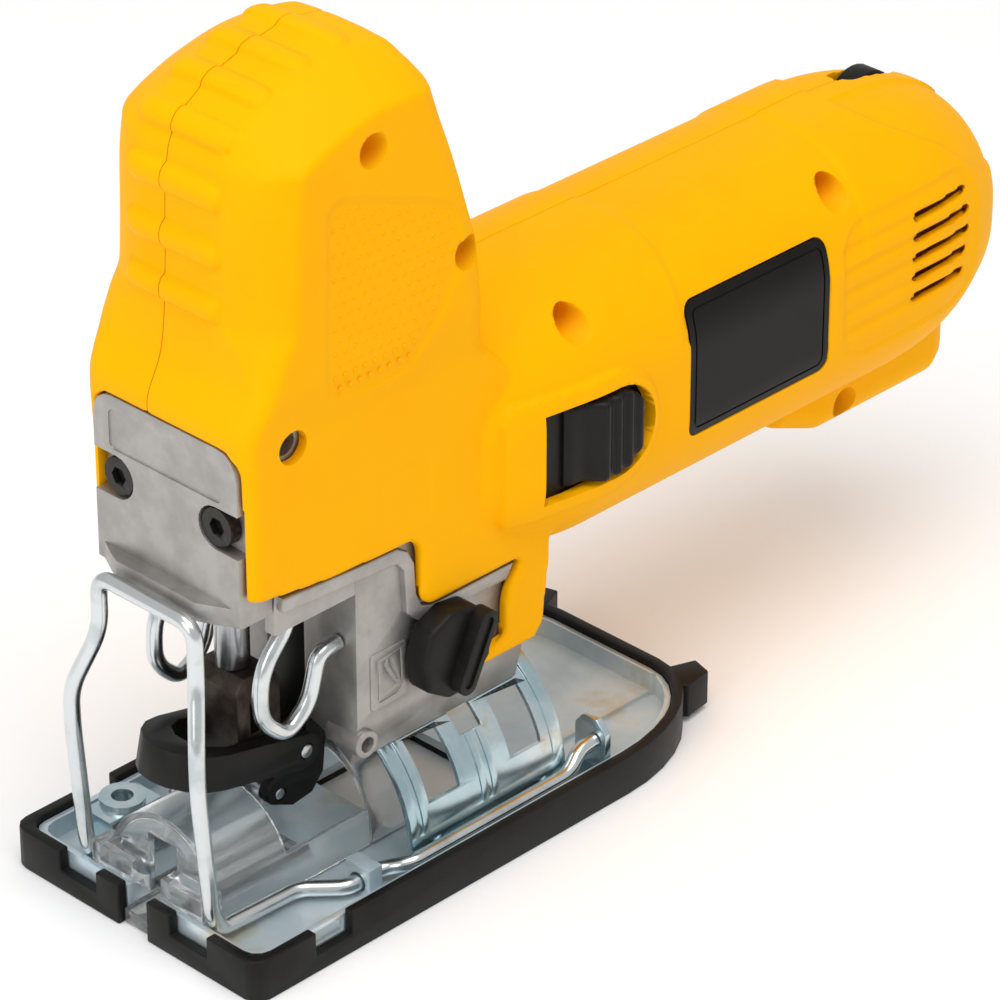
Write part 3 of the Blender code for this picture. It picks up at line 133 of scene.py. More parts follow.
# Sintered and steam-treated steel: brown black, slightly open
SINTER = finish("steam_treated_sinter", ("#2B2622", "#3D352E", "#4A4038"), (0.36, 0.55), 0.75, 5, 0.5, 0.04)
STEEL = finish("ground_steel", ("#A9ABAD", "#BFC1C3"), (0.2, 0.32), 1.0, 10, 0.4, 0.01)
COPPER = finish("turned_copper", ("#B06A48", "#C98058"), (0.25, 0.4), 1.0, 6, 0.4, 0.01)
BRONZE = finish("sintered_bronze", ("#8A6A42", "#A27E50"), (0.4, 0.55), 1.0, 6, 0.4, 0.03)
CARBON = finish("pressed_carbon", ("#191919", "#242424"), (0.5, 0.65), 0.2, 4, 0.3, 0.02)
# Black glass-filled nylon: satin, a touch lighter on its grain
NYLON = finish("black_nylon", ("#121110", "#191817"), (0.38, 0.52), 0.0, 14, 0.5, 0.02,
               **{"Specular IOR Level": 0.2})
BADGE = finish("satin_badge_film", ("#0E0C0B", "#131110"), (0.26, 0.36), 0.0, 20, 0.6, 0.004,
               **{"Specular IOR Level": 0.15})


def clear_material():
    """Moulded polycarbonate: clear, faintly blue at its edges, with a little haze."""
    made = finish("clear_polycarbonate", ("#F2F8FA", "#FAFDFD"), (0.05, 0.16), 0.0, 15, 2.0, 0.02,
                  **{"IOR": 1.58, "Transmission Weight": 0.92})
    return made


CLEAR = clear_material()
LOOKS = {"yellow_shell": YELLOW, "badge_black": BADGE, "cast_aluminium": CAST, "zinc_steel": ZINC,
         "black_screw": OXIDE, "dark_steel": SINTER, "bright_steel": STEEL, "copper": COPPER,
         "bronze": BRONZE, "carbon": CARBON, "black_plastic": NYLON, "clear_plastic": CLEAR}

# ---------------------------------------------------------------- shape helpers


def enter(name, mesh):
    obj = bpy.data.objects.new(name, mesh)
    bpy.context.scene.collection.objects.link(obj)
    return obj


def from_bmesh(name, bm):
    bmesh.ops.recalc_face_normals(bm, faces=bm.faces)
    mesh = bpy.data.meshes.new(name)
    bm.to_mesh(mesh)
    bm.free()
    return enter(name, mesh)


def lofted(name, rings):
    """A closed body through rings of equal counts, in mm."""
    bm = bmesh.new()
    rows = [[bm.verts.new(at(*p)) for p in ring] for ring in rings]
    count = len(rows[0])
    for one, two in zip(rows, rows[1:]):
        for i in range(count):
            bm.faces.new((one[i], one[(i + 1) % count], two[(i + 1) % count], two[i]))
    bm.faces.new(rows[0])
    bm.faces.new(rows[-1])
    return from_bmesh(name, bm)


def in_plane(plane, u, v, w):
    return {"XY": (u, v, w), "XZ": (u, w, v), "YZ": (w, u, v)}[plane]


def prism(name, plane, outline, low, high):
    """An outline in a plane carried from low to high across it."""
    return lofted(name, [[in_plane(plane, u, v, w) for u, v in outline] for w in (low, high)])


def box(name, x, y, z):
    return prism(name, "XY", [(x[0], y[0]), (x[1], y[0]), (x[1], y[1]), (x[0], y[1])], *z)


def turned(name, axis, centre, profile, sides=48):
    """A body of revolution about an axis through centre: profile is (distance along the axis, radius)."""
    rings = []
    for t, r in profile:
        ring = []
        for i in range(sides):
            a, b = max(r, 0.001) * cos(2 * pi * i / sides), max(r, 0.001) * sin(2 * pi * i / sides)
            step = {"X": (t, a, b), "Y": (b, t, a), "Z": (a, b, t)}[axis]
            ring.append(tuple(c + s for c, s in zip(centre, step)))
        rings.append(ring)
    return lofted(name, rings)


def rod(name, axis, start, length, radius, sides=40, chamfer=0.0):
    c = chamfer
    if c:
        profile = [(0, radius - c), (c, radius), (length - c, radius), (length, radius - c)]
    else:
        profile = [(0, radius), (length, radius)]
    return turned(name, axis, start, profile, sides)


def arc(cx, cy, radius, start, end, steps):
    return [(cx + radius * cos(radians(start + (end - start) * i / steps)),
             cy + radius * sin(radians(start + (end - start) * i / steps))) for i in range(steps + 1)]


def rounded(u, v, radius, steps=8):
    r = min(radius, (u[1] - u[0]) / 2 - 0.01, (v[1] - v[0]) / 2 - 0.01)
    points = []
    for cu, cv, start in ((u[1] - r, v[1] - r, 0), (u[0] + r, v[1] - r, 90),
                          (u[0] + r, v[0] + r, 180), (u[1] - r, v[0] + r, 270)):
        points += arc(cu, cv, r, start, start + 90, steps)
    return points


def bow(start, middle, end, steps):
    """Points on the parabola from start to end that passes through middle."""
    a, m, e = Vector(start), Vector(middle), Vector(end)
    c = 2 * m - 0.5 * (a + e)
    return [tuple(a * (1 - t) ** 2 + c * 2 * t * (1 - t) + e * t * t) for t in
            (i / steps for i in range(steps + 1))]


def bent(points, bend, steps=8):
    """A path with each inner corner replaced by a bend that starts at most bend from it."""
    points = [Vector(p) for p in points]
    path = [points[0]]
    for before, corner, after in zip(points, points[1:], points[2:]):
        into, out = before - corner, after - corner
        reach = min(bend, into.length * 0.45, out.length * 0.45)
        path += [Vector(p) for p in bow(corner + into.normalized() * reach,
                                        (corner * 2 + (corner + into.normalized() * reach)
                                         + (corner + out.normalized() * reach)) / 4,
                                        corner + out.normalized() * reach, steps)]
    return path + [points[-1]]


def swept(name, path, radius, sides=20):
    """A round wire along the path. Radius is a number, or a function of the share of the way along."""
    path = [Vector(p) for p in path]
    rings, side = [], None
    for i, point in enumerate(path):
        ahead = (path[min(i + 1, len(path) - 1)] - path[max(i - 1, 0)]).normalized()
        if side is None:
            side = ahead.orthogonal().normalized()
        side = (side - ahead * side.dot(ahead)).normalized()
        up = ahead.cross(side)
        r = radius(i / (len(path) - 1)) if callable(radius) else radius
        rings.append([tuple(point + (side * cos(2 * pi * k / sides) + up * sin(2 * pi * k / sides)) * r)
                      for k in range(sides)])
    return lofted(name, rings)


def settle(obj):
    """Put what the modifiers make into the object's own mesh."""
    graph = bpy.context.evaluated_depsgraph_get()
    mesh = bpy.data.meshes.new_from_object(obj.evaluated_get(graph))
    obj.modifiers.clear()
    old = obj.data
    obj.data = mesh
    bpy.data.meshes.remove(old)
    return obj


def boolean(obj, others, operation="DIFFERENCE", solver="MANIFOLD"):
    for other in others:
        cut = obj.modifiers.new("cut", "BOOLEAN")
        cut.operation, cut.object, cut.solver = operation, other, solver
    settle(obj)
    for other in others:
        bpy.data.objects.remove(other)
    return obj


def union(obj, others, solver="MANIFOLD"):
    return boolean(obj, others, "UNION", solver)


def merged(name, node):
    """A copy of a CAD node with its loose triangles sewn together."""
    obj = enter(name, NODES[node].data.copy())
    obj.data.materials.clear()
    bm = bmesh.new()
    bm.from_mesh(obj.data)
    bmesh.ops.remove_doubles(bm, verts=bm.verts, dist=2e-6)
    bmesh.ops.dissolve_degenerate(bm, edges=bm.edges, dist=2e-6)
    bm.to_mesh(obj.data)
    bm.free()
    return obj


def bevelled(obj, width, segments=2, angle=32):
    soft = obj.modifiers.new("soft", "BEVEL")
    soft.width, soft.segments, soft.limit_method = width / 1000, segments, "ANGLE"
    soft.angle_limit = radians(angle)
    soft.use_clamp_overlap = True
    soft.harden_normals = False
    return settle(obj)


def flat_faces(obj, degrees=1.0):
    bm = bmesh.new()
    bm.from_mesh(obj.data)
    bmesh.ops.dissolve_limit(bm, angle_limit=radians(degrees), verts=bm.verts, edges=bm.edges)
    bm.to_mesh(obj.data)
    bm.free()
    return obj


def placed(obj, look, *nodes, smooth=35, body=None):
    """Give the piece its finish and shading, and let it stand for its CAD nodes."""
    obj.data.materials.clear()
    obj.data.materials.append(look)
    obj.data.shade_smooth()
    obj.data.set_sharp_from_angle(angle=radians(smooth))
    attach(obj, body or BODY_OF[nodes[0]])
    if nodes:
        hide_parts(*nodes)
    return obj


def refined(node, width=0.35, look=None, segments=2, smooth=35, cuts=(), adds=(), solver="EXACT"):
    """The CAD node's own shape with softened edges, and any cuts and additions."""
    obj = merged(node + "_piece", node)
    if adds:
        union(obj, adds, solver)
    if cuts:
        boolean(obj, cuts, "DIFFERENCE", solver)
    flat_faces(obj)
    if width:
        bevelled(obj, width, segments)
    return placed(obj, look or LOOKS[SLOT_OF[node]], node, smooth=smooth)


def interpolated(stations, places):
    """Monotone cubic interpolation of every column of stations against the first."""
    table = np.array(stations, float)
    t = table[:, 0]
    columns = []
    for values in table.T[1:]:
        step = np.diff(t)
        slope = np.diff(values) / step
        tangent = np.zeros(len(t))
        tangent[0], tangent[-1] = slope[0], slope[-1]
        for i in range(1, len(t) - 1):
            if slope[i - 1] * slope[i] > 0:
                w1, w2 = 2 * step[i] + step[i - 1], step[i] + 2 * step[i - 1]
                tangent[i] = (w1 + w2) / (w1 / slope[i - 1] + w2 / slope[i])
        k = np.clip(np.searchsorted(t, places, side="right") - 1, 0, len(t) - 2)
        h = step[k]
        s = (np.asarray(places) - t[k]) / h
        columns.append(values[k] * (1 + 2 * s) * (1 - s) ** 2 + tangent[k] * h * s * (1 - s) ** 2
                       + values[k + 1] * s * s * (3 - 2 * s) + tangent[k + 1] * h * s * s * (s - 1))
    return [(p, *row) for p, row in zip(places, zip(*columns))]


# ---------------------------------------------------------------- moulded casing

MOTOR_Z, HALF_WIDTH, HALF_HEIGHT, CORNER = 93.0, 32.0, 35.0, 27.0
TOP, HEAD_HALF, NOSE_HALF = 201.0, 27.0, 25.5
CHAMFER_X, CHAMFER_Y, ROOF_DROP = 8.5, 14.0, 9.0
THROUGH_SCREWS = [(51.0, 183.5), (79.0, 149.5), (113.0, 118.5), (200.0, 119.0), (217.0, 54.0)]
CASE_SCREW = (27.8, 122.0)
DIAL_Z = 117.4


def grip_plan(z, x0, x1, half, front_cut, side_cut):
    """Half of the grip's outline at one height, then its mirror image."""
    front = bow((x0, half - side_cut), (x0 + 0.36 * front_cut, half - 0.36 * side_cut), (x0 + front_cut, half), 7)
    rear = bow((x1 - 6, half), (x1 - 1.8, half - 1.8), (x1, half - 6), 5)
    right = front + rear
    return [(x, y, z) for x, y in right + [(u, -v) for u, v in reversed(right)]]


def roof_line(x, top):
    flat = HEAD_HALF - CHAMFER_Y
    slope = bow((HEAD_HALF, top - ROOF_DROP), (HEAD_HALF - 0.45 * CHAMFER_Y, top - 0.5 * ROOF_DROP),
                (flat, top - 0.07 * ROOF_DROP), 7)
    crown = [(flat * s, top - 0.07 * ROOF_DROP * s * s) for s in (0.75, 0.5, 0.25)]
    right = [(HEAD_HALF + 6, 30), (HEAD_HALF + 6, top - ROOF_DROP - 3.6)] + slope + crown
    return [(x, y, z) for y, z in right + [(0, top)] + [(-u, v) for u, v in reversed(right)]]


def grip():
    plans = [(60, 15.2, 105, NOSE_HALF, 2.5, 2.5), (TOP - 86, 14.9, 100, NOSE_HALF, 3, 3),
             (TOP - 79, 14.4, 88, NOSE_HALF, 3, 3), (TOP - 75, 14.2, 87, NOSE_HALF + 0.3, 3.5, 4),
             (TOP - 64, 18.6, 85.8, HEAD_HALF, 4, 5), (TOP - 58, 19.7, 85.2, HEAD_HALF, 5.5, 8),
             (TOP - 51, 20.3, 84.4, HEAD_HALF, CHAMFER_X, CHAMFER_Y),
             (TOP - 41, 20.9, 81.6, HEAD_HALF, CHAMFER_X, CHAMFER_Y),
             (TOP - 26, 21.5, 76.8, HEAD_HALF, CHAMFER_X, CHAMFER_Y),
             (TOP - 18, 22.6, 73.8, HEAD_HALF, CHAMFER_X, CHAMFER_Y),
             (TOP + 6, 28, 66, HEAD_HALF, CHAMFER_X, CHAMFER_Y)]
    places = [60, 90, 110] + list(np.arange(TOP - 79, TOP + 6.1, 1.5))
    block = lofted("grip", [grip_plan(*row) for row in interpolated(plans, places)])
    ridge = [(5, TOP - 45), (19, TOP - 28), (21.4, TOP - 21), (23.2, TOP - 16), (26, TOP - 11.5), (30.5, TOP - 8),
             (35.7, TOP - 5.3), (46, TOP - 1.8), (57, TOP), (65, TOP - 0.6), (71, TOP - 3.2), (76, TOP - 9),
             (80, TOP - 18), (90, TOP - 36), (120, TOP - 60)]
    roof = lofted("grip_roof", [roof_line(*row) for row in interpolated(ridge, np.arange(5, 120.1, 1.25))])
    return boolean(block, [roof], "INTERSECT")


def barrel():
    w, h, end, dome = HALF_WIDTH, HALF_HEIGHT, 264.0, 42.0
    stations = [(80, w - 9, h - 8), (86, w - 5.2, h - 4), (92, w - 3.4, h - 2.4), (104, w - 1.4, h - 1),
                (118, w, h)]
    for i in range(25):
        share = sin(pi / 2 * i / 24)
        fall = 1 - (1 - share ** 2.2) ** (1 / 2.2)
        stations.append((end - dome * (1 - share), w - (w - 16) * fall, h - (h - 17) * fall))
    places = [80, 83, 86, 89, 92, 96, 100, 104, 109, 114, 118, 150, 200] + [row[0] for row in stations[5:]]
    rings = []
    for x, a, b in interpolated(stations, places):
        corner = max(min(CORNER, a - 0.6, b - 0.6), 0.5)
        rings.append([(x, y, z) for y, z in rounded((-a, a), (MOTOR_Z - b, MOTOR_Z + b), corner, 20)])
    return lofted("barrel", rings)


def cord_boss():
    stations = [(190, 9, 60, 70), (198, 14, 51.5, 75), (210, 16, 47.5, 75), (250, 16, 47.5, 75),
                (254, 14.5, 49, 75)]
    return lofted("cord_boss", [[(x, y, z) for y, z in rounded((-a, a), (b, c), 7, 8)]
                                for x, a, b, c in stations])


def casing_blank():
    """The outside of both shells as one solid."""
    skin = grip()
    leg = prism("rear_leg", "XZ", [(84.5, 43), (101.5, 43), (104, 46), (106, 62), (106, 76), (84.5, 76)],
                -25.3, 25.3)
    return union(skin, [barrel(), cord_boss(), leg])


def voxelled(obj, size, smoothing):
    remesh = obj.modifiers.new("even", "REMESH")
    remesh.mode, remesh.voxel_size = "VOXEL", size / 1000
    if smoothing:
        even = obj.modifiers.new("smooth", "SMOOTH")
        even.factor, even.iterations = 0.5, smoothing
    return settle(obj)


def read_points(obj):
    """The vertices in mm from the shoe's front, and their normals."""
    count = len(obj.data.vertices)
    points, normals = np.empty(count * 3), np.empty(count * 3)
    obj.data.vertices.foreach_get("co", points)
    obj.data.vertex_normals.foreach_get("vector", normals)
    points = points.reshape(-1, 3) * 1000
    points[:, 0] -= FRONT * 1000
    return points, normals.reshape(-1, 3)


def write_points(obj, points):
    places = points.copy()
    places[:, 0] += FRONT * 1000
    obj.data.vertices.foreach_set("co", (places / 1000).ravel())
    obj.data.update()


def edge_distance(u, v, outline):
    """How far inside a closed outline each point (u, v) lies: positive inside, negative outside."""
    nearest = np.full(len(u), 1e9)
    inside = np.zeros(len(u), bool)
    for (ax, ay), (bx, by) in zip(outline, outline[1:] + outline[:1]):
        dx, dy = bx - ax, by - ay
        t = np.clip(((u - ax) * dx + (v - ay) * dy) / (dx * dx + dy * dy + 1e-12), 0, 1)
        nearest = np.minimum(nearest, np.hypot(u - ax - t * dx, v - ay - t * dy))
        crosses = ((ay > v) != (by > v))
        with np.errstate(divide="ignore", invalid="ignore"):
            inside ^= crosses & (u < (bx - ax) * (v - ay) / (by - ay if by != ay else 1e-9) + ax)
    return np.where(inside, nearest, -nearest)


def step(distance, width):
    """0 outside to 1 inside, over a soft edge."""
    s = np.clip(distance / width + 0.5, 0, 1)
    return s * s * (3 - 2 * s)


DOT_PANEL = [(37.8, 173), (37.2, 150), (36.9, 135.5), (38, 131), (41.3, 129), (50, 127.8), (58.6, 127.6),
             (63.5, 129.6), (67.1, 133.8), (71.5, 139), (74.8, 144.4), (76.5, 149.5), (76.9, 154.3), (76.2, 159),
             (74.1, 162.7), (68, 166), (43.8, 175), (40, 175.2)]
SLOPE_PANEL = rounded((53, 69), (88.5, 104), 2.5, 3)
GRILLE_PANEL = rounded((197, 247), (77.5, 112.5), 9, 5)
SWITCH_OUTLINE = [(88, 79), (90, 76.5), *arc(118, 91.7, 15.2, -90, 90, 14), (90, 106.9), (88, 104)]
FINGER_BARS = [(20.3, 151.5, 88, 1.25), (20.5, 164, 88, 1.25), (20.9, 177, 84, 1.25), (24.5, 190.0, 52, 1.0),
               (35, 195.7, 24, 1.0), (46, 199.2, 14, 0.9), (57, 201, 3, 0.9)]


def press_details(obj):
    """Raise and sink the moulded details of the skin along its own normals."""
    p, n = read_points(obj)
    x, y, z = p.T
    d = np.zeros(len(p))
    side = np.clip((np.abs(n[:, 1]) - 0.75) * 6, 0, 1)
    on_head = side * (np.abs(np.abs(y) - HEAD_HALF) < 1.0)
    d -= 0.45 * on_head * step(edge_distance(x, z, DOT_PANEL), 0.9)
    on_skirt = side * (np.abs(y) > 24)
    panel = edge_distance(x, z, SLOPE_PANEL)
    d -= 0.12 * on_skirt * step(panel, 0.8)
    # finger bars across the front and over the top
    for cx, cz, lean, height in FINGER_BARS:
        along = (x - cx) * cos(radians(lean)) + (z - cz) * sin(radians(lean))
        away = np.abs(-(x - cx) * sin(radians(lean)) + (z - cz) * cos(radians(lean)))
        reach = np.hypot(np.maximum(np.abs(y - 2.4) - 11.6, 0), along)
        bar = np.sqrt(np.clip(1 - (reach / 3.1) ** 2, 0, 1))
        d += 1.45 * height * bar * (away < 6)
    # parting line: the lips roll in slightly
    d -= 0.25 * np.exp(-((y - SEAM_Y) / 0.55) ** 2) * (np.abs(n[:, 1]) < 0.8)
    # barrel: a shoulder ahead of the badge on the left, a cap line at the rear
    around = (x > 110) & (x < 262)
    shoulder = step(x - 143.0 - np.clip((z - 110) * 0.12, -3, 3), 1.2) * step(z - 104, 2.0) * step(206 - x, 2.0)
    d -= 0.55 * shoulder * around
    edge = np.interp(z, (105, 110.5, 118.6, 126, 131), (256, 248, 238, 225, 219))
    d -= 0.8 * step(x - edge, 0.7) * step(z - 104, 1.5) * (np.abs(y) > 3.5) * (x > 205)
    grille = step(edge_distance(x, z, GRILLE_PANEL), 1.0) * np.clip((np.abs(n[:, 1]) - 0.5) * 5, 0, 1)
    d -= 0.55 * grille * (x > 190)
    for height in (85.0, 90.2, 95.6, 101.0, 106.4):
        line = np.hypot(np.maximum(np.abs(x - 210) - 11.5, 0), z - height - 0.6)
        d -= 0.4 * np.sqrt(np.clip(1 - (line / 0.9) ** 2, 0, 1)) * (np.abs(y) > 20) * (x < 223)
    # switch surround on the left only
    d += 1.5 * step(edge_distance(x, z, SWITCH_OUTLINE), 1.3) * (y < -20) * side
    write_points(obj, p + n * d[:, None])
    return obj


def casing_cutters():
    cuts = [prism("frame_cut", "XZ", [
        (0, 20), (0, 88.5), (14, 88.5), *bow((30, 86.3), (38, 85.4), (46, 84.9), 4), (59, 84.4),
        *arc(61, 79.9, 4.5, 85, 0, 6), (65.6, 70), *arc(69.6, 70.2, 4.2, 180, 270, 5), (97, 66),
        *bow((95.5, 63), (92.6, 58.5), (91.8, 53), 4), (91.8, 47), (84, 45.6), (83, 20)], -60, 60),
        prism("nose_window", "YZ", rounded((-22.9, 22.9), (30, 123.9), 6.3), 0, 24)]
    for i in range(5):
        z = 84.5 + 5.2 * i
        cuts.append(prism(f"vent_{i}", "XZ", rounded((222, 245 - abs(i - 2.3)), (z, z + 2.4), 1.19, 4), -50, 50))
    cuts.append(prism("dial_slot", "XY", rounded((234.6, 251.4), (SEAM_Y - 3.2, SEAM_Y + 3.2), 1.0, 3),
                      DIAL_Z, DIAL_Z + 30))
    return cuts


def badge_recess(mirrored):
    """The badge's shallow seat, with rounded corners."""
    strip = badge_strip("badge_recess", 0.3, -4, 1.5, mirrored)
    return boolean(strip, [prism("badge_corners", "XZ", rounded((144.2, 191.8), (79.2, 113.3), 3.2, 6), -50, 50)],
                   "INTERSECT", "EXACT")


WELL_RADIUS = 4.0


def left_cutters():
    """The switch opening and the screw wells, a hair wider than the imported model's own."""
    cuts = [prism("switch_opening", "XZ", [(98.3, 80.3), *arc(119.75, 91.75, 11.45, -90, 90, 16), (98.3, 103.2)],
                  -60, -20)]
    for i, (x, z) in enumerate(THROUGH_SCREWS):
        cuts.append(turned(f"screw_well_{i}", "Y", (x, 0, z), [(-60, WELL_RADIUS), (-3, WELL_RADIUS)], 40))
    x, z = CASE_SCREW
    cuts.append(turned("case_screw_well", "Y", (x, 0, z), [(-60, WELL_RADIUS), (-18, WELL_RADIUS)], 40))
    return cuts


def badge_strip(name, grow, outer_inset, inner_inset, mirrored):
    def edge_y(up, inset):
        beyond = max(abs(up - MOTOR_Z) - (HALF_HEIGHT - CORNER), 0)
        return HALF_WIDTH - CORNER + sqrt(max((CORNER - inset) ** 2 - beyond ** 2, 0))
    ups = [79.5 - grow + (33.5 + 2 * grow) * i / 24 for i in range(25)]
    outline = [(mirrored * edge_y(up, outer_inset), up) for up in ups]
    outline += [(mirrored * edge_y(up, inner_inset), up) for up in reversed(ups)]
    return prism(name, "YZ", outline, 144.5 - grow, 191.5 + grow)


def copied(obj, name):
    return enter(name, obj.data.copy())


def dots(mirrored):
    """Small domes in the grip panel, laid on a staggered grid by a node tree."""
    base = []
    rows = int((176 - 127) / 2.9)
    for j in range(rows + 1):
        for i in range(16):
            u, v = 36.5 + 2.9 * i + (1.45 if j % 2 else 0), 128.5 + 2.9 * j
            base.append((u, v))
    u, v = np.array(base).T
    deep = edge_distance(u, v, DOT_PANEL) > 1.6
    mesh = bpy.data.meshes.new("grip_dot_places")
    mesh.from_pydata([at(a, mirrored * (HEAD_HALF - 0.5), b) for a, b, ok in zip(u, v, deep) if ok], [], [])
    holder = enter("grip_dots_" + ("left" if mirrored < 0 else "right"), mesh)
    tree = bpy.data.node_groups.new("grip_dots", "GeometryNodeTree")
    tree.interface.new_socket("Geometry", in_out="INPUT", socket_type="NodeSocketGeometry")
    size = tree.interface.new_socket("Dot radius", in_out="INPUT", socket_type="NodeSocketFloat")
    tree.interface.new_socket("Geometry", in_out="OUTPUT", socket_type="NodeSocketGeometry")
    size.default_value = 0.5 / 1000
    into = add(tree, "NodeGroupInput")
    dome = add(tree, "GeometryNodeMeshUVSphere", {"Segments": 10, "Rings": 6}, {"Radius": into.outputs[1]})
    flat = add(tree, "GeometryNodeTransform", {"Scale": (1.0, 0.6, 1.0)}, {"Geometry": dome.outputs["Mesh"]})
    spread = add(tree, "GeometryNodeInstanceOnPoints", links={"Points": into.outputs[0],
                                                             "Instance": flat.outputs["Geometry"]})
    real = add(tree, "GeometryNodeRealizeInstances", links={"Geometry": spread.outputs["Instances"]})
    painted = add(tree, "GeometryNodeSetMaterial", {"Material": YELLOW}, {"Geometry": real.outputs["Geometry"]})
    add(tree, "NodeGroupOutput", links={0: painted.outputs["Geometry"]})
    scatter = holder.modifiers.new("dots", "NODES")
    scatter.node_group = tree
    scatter[size.identifier] = 0.5 / 1000
    settle(holder)
    holder.data.shade_smooth()
    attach(holder, "tool_body")
    return holder


SKIN_VOXEL, INNER_VOXEL, SKIN_DEPTH = 0.8, 1.5, 1.3


def casing():
    """Both shells: an even skin with its pressed details outside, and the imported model's walls and bosses inside."""
    blank = casing_blank()
    inner = voxelled(copied(blank, "casing_inner"), INNER_VOXEL, 2)
    p, n = read_points(inner)
    write_points(inner, p - n * SKIN_DEPTH)
    voxelled(inner, INNER_VOXEL, 0)
    hollows = {}
    for word in ("left", "right"):
        hollows[word] = boolean(copied(inner, "hollow_" + word), [merged("cad_" + word, "housing_" + word)])
    bpy.data.objects.remove(inner)
    boolean(blank, casing_cutters())
    skin = voxelled(blank, SKIN_VOXEL, 3)
    press_details(skin)
    for word, low, high in (("left", -100, SEAM_Y - GAP / 2), ("right", SEAM_Y + GAP / 2, 100)):
        half = copied(skin, "housing_" + word + "_moulding")
        boolean(half, [box("half_space", (-50, 400), (low, high), (-10, 300))], "INTERSECT")
        boolean(half, [hollows[word], badge_recess(-1 if word == "left" else 1)]
                + (left_cutters() if word == "left" else []))
        placed(half, YELLOW, "housing_" + word, smooth=42)
    bpy.data.objects.remove(skin)
    for mirrored in (-1, 1):
        dots(mirrored)


# ---------------------------------------------------------------- fittings

def socket_screw(name, node, axis, seat, radius, height, key, direction=1):
    """A cap screw's head with a rounded rim and a hexagon socket, open towards -direction along the axis."""
    s = direction
    head = turned(name, axis, seat, [(0, radius), (-s * (height - 0.4), radius), (-s * (height - 0.1), radius - 0.2),
                                     (-s * height, radius - 0.6)], 40)
    ring = turned("key", axis, seat, [(-s * (height - 1.7), key), (-s * (height + 2), key)], 6)
    shank = merged(node + "_shank", node)
    screw = boolean(union(shank, [head], "EXACT"), [ring], solver="EXACT")
    return placed(screw, OXIDE, node, smooth=30)


def screws():
    for i, (x, z) in enumerate(THROUGH_SCREWS):
        socket_screw(f"housing_screw_{i + 1}_piece", f"housing_screw_{i + 1}", "Y", (x, -3.3, z), 3.3, 2.6, 1.5)
    x, z = CASE_SCREW
    socket_screw("case_side_screw_piece", "case_side_screw", "Y", (x, -17.8, z), 2.7, 2.0, 1.3)
    for side, word in ((-1, "left"), (1, "right")):
        socket_screw(f"nose_screw_{word}_piece", f"nose_screw_{word}", "X", (17.5, side * 15.4, 104), 4.6, 2.8, 2.3)


def badge(word, mirrored):
    """A curved satin plate with rounded corners and a fine groove inside its edge."""
    def corners(inset, radius):
        return prism("corners", "XZ", rounded((144.5 + inset, 191.5 - inset), (79.5 + inset, 113 - inset), radius, 8),
                     -50, 50)
    plate = boolean(badge_strip(f"badge_{word}_piece", 0.0, 0.25, 1.2, mirrored), [corners(0, 3)], "INTERSECT",
                    "EXACT")
    groove = boolean(badge_strip("groove", 0.0, -1, 0.5, mirrored), [corners(1.6, 2)], "INTERSECT", "EXACT")
    boolean(groove, [corners(2.1, 1.6)], solver="EXACT")
    boolean(plate, [groove], solver="EXACT")
    placed(plate, BADGE, f"badge_{word}", smooth=30)


def wires():
    """The bent guard wire round the nose, and the two S wires beside the clamp."""
    low, run, wide = 8.45, 6.4, 33.3
    right = [(7.6, 15.3, 82.5), (7.6, 15.3, 69), (2.6, 20.2, 54), (2.6, 20.2, 44), (5.2, 20.4, 12.5),
             (7.5, 20.4, run + 1), (31, 20.3, run), (36, 25, run), (39, 28, 6.6), (49.5, 28, 6.6),
             (53.5, wide, low), (60, wide, low), (104, wide, low), (109, wide - 1.5, 12), (113.9, wide - 1.5, 12.5)]
    left = [(x, -y, z) for x, y, z in reversed(right)]
    placed(swept("guard_wire_piece", bent(left + right, 5, 10), 1.9, 24), WIRE, "guard_wire", smooth=60)
    for side, word in ((-1, "left"), (1, "right")):
        y = side * 17.0
        path = bent([(33.5, y, 83.7), (33.5, y, 74), (24.6, y, 64), (24.2, y, 52), (31.5, y, 45), (38.5, y, 50),
                     (41.8, y, 61.5), (47.7, y, 62)], 7, 10)
        placed(swept(f"clamp_guard_{word}_piece", path, 1.9, 24), WIRE, f"clamp_guard_{word}", smooth=60)


def slider():
    """The thumb slider: a flat sole and a D-shaped pad with swells across it."""
    sole = box("switch_slider_piece", (95.5, 136), (-28.3, -26.9), (78.1, 105.4))
    bevelled(sole, 0.3)
    swell = [(106.0, -29.2), (107.5, -30.6), (110.5, -31.2), (112.5, -33.2), (114.6, -35.0), (116.8, -33.9),
             (118.6, -34.9), (120.6, -33.7), (122.4, -34.7), (124.4, -33.5), (126.2, -34.2), (127.8, -33.0),
             (129.0, -31.0)]
    rings = []
    for x, top in interpolated(swell, np.linspace(106.0, 129.0, 60)):
        half = 10.05 if x < 119 else sqrt(max(10.2 ** 2 - (x - 119) ** 2, 0.5))
        rings.append([(x, y, z) for y, z in rounded((top, -27.6), (91.75 - half, 91.75 + half), 1.5, 5)])
    pad = lofted("slider_pad", rings)
    union(sole, [pad], "EXACT")
    placed(sole, NYLON, "switch_slider", smooth=40)


def nose():
    """The nose casting, with a plain sunk band above its screws."""
    band = prism("band", "YZ", rounded((-17.5, 17.5), (110.5, 120.2), 1.5, 5), 10, 14.2 + 0.45)
    refined("nose_cover", 0.7, cuts=[band], segments=3)


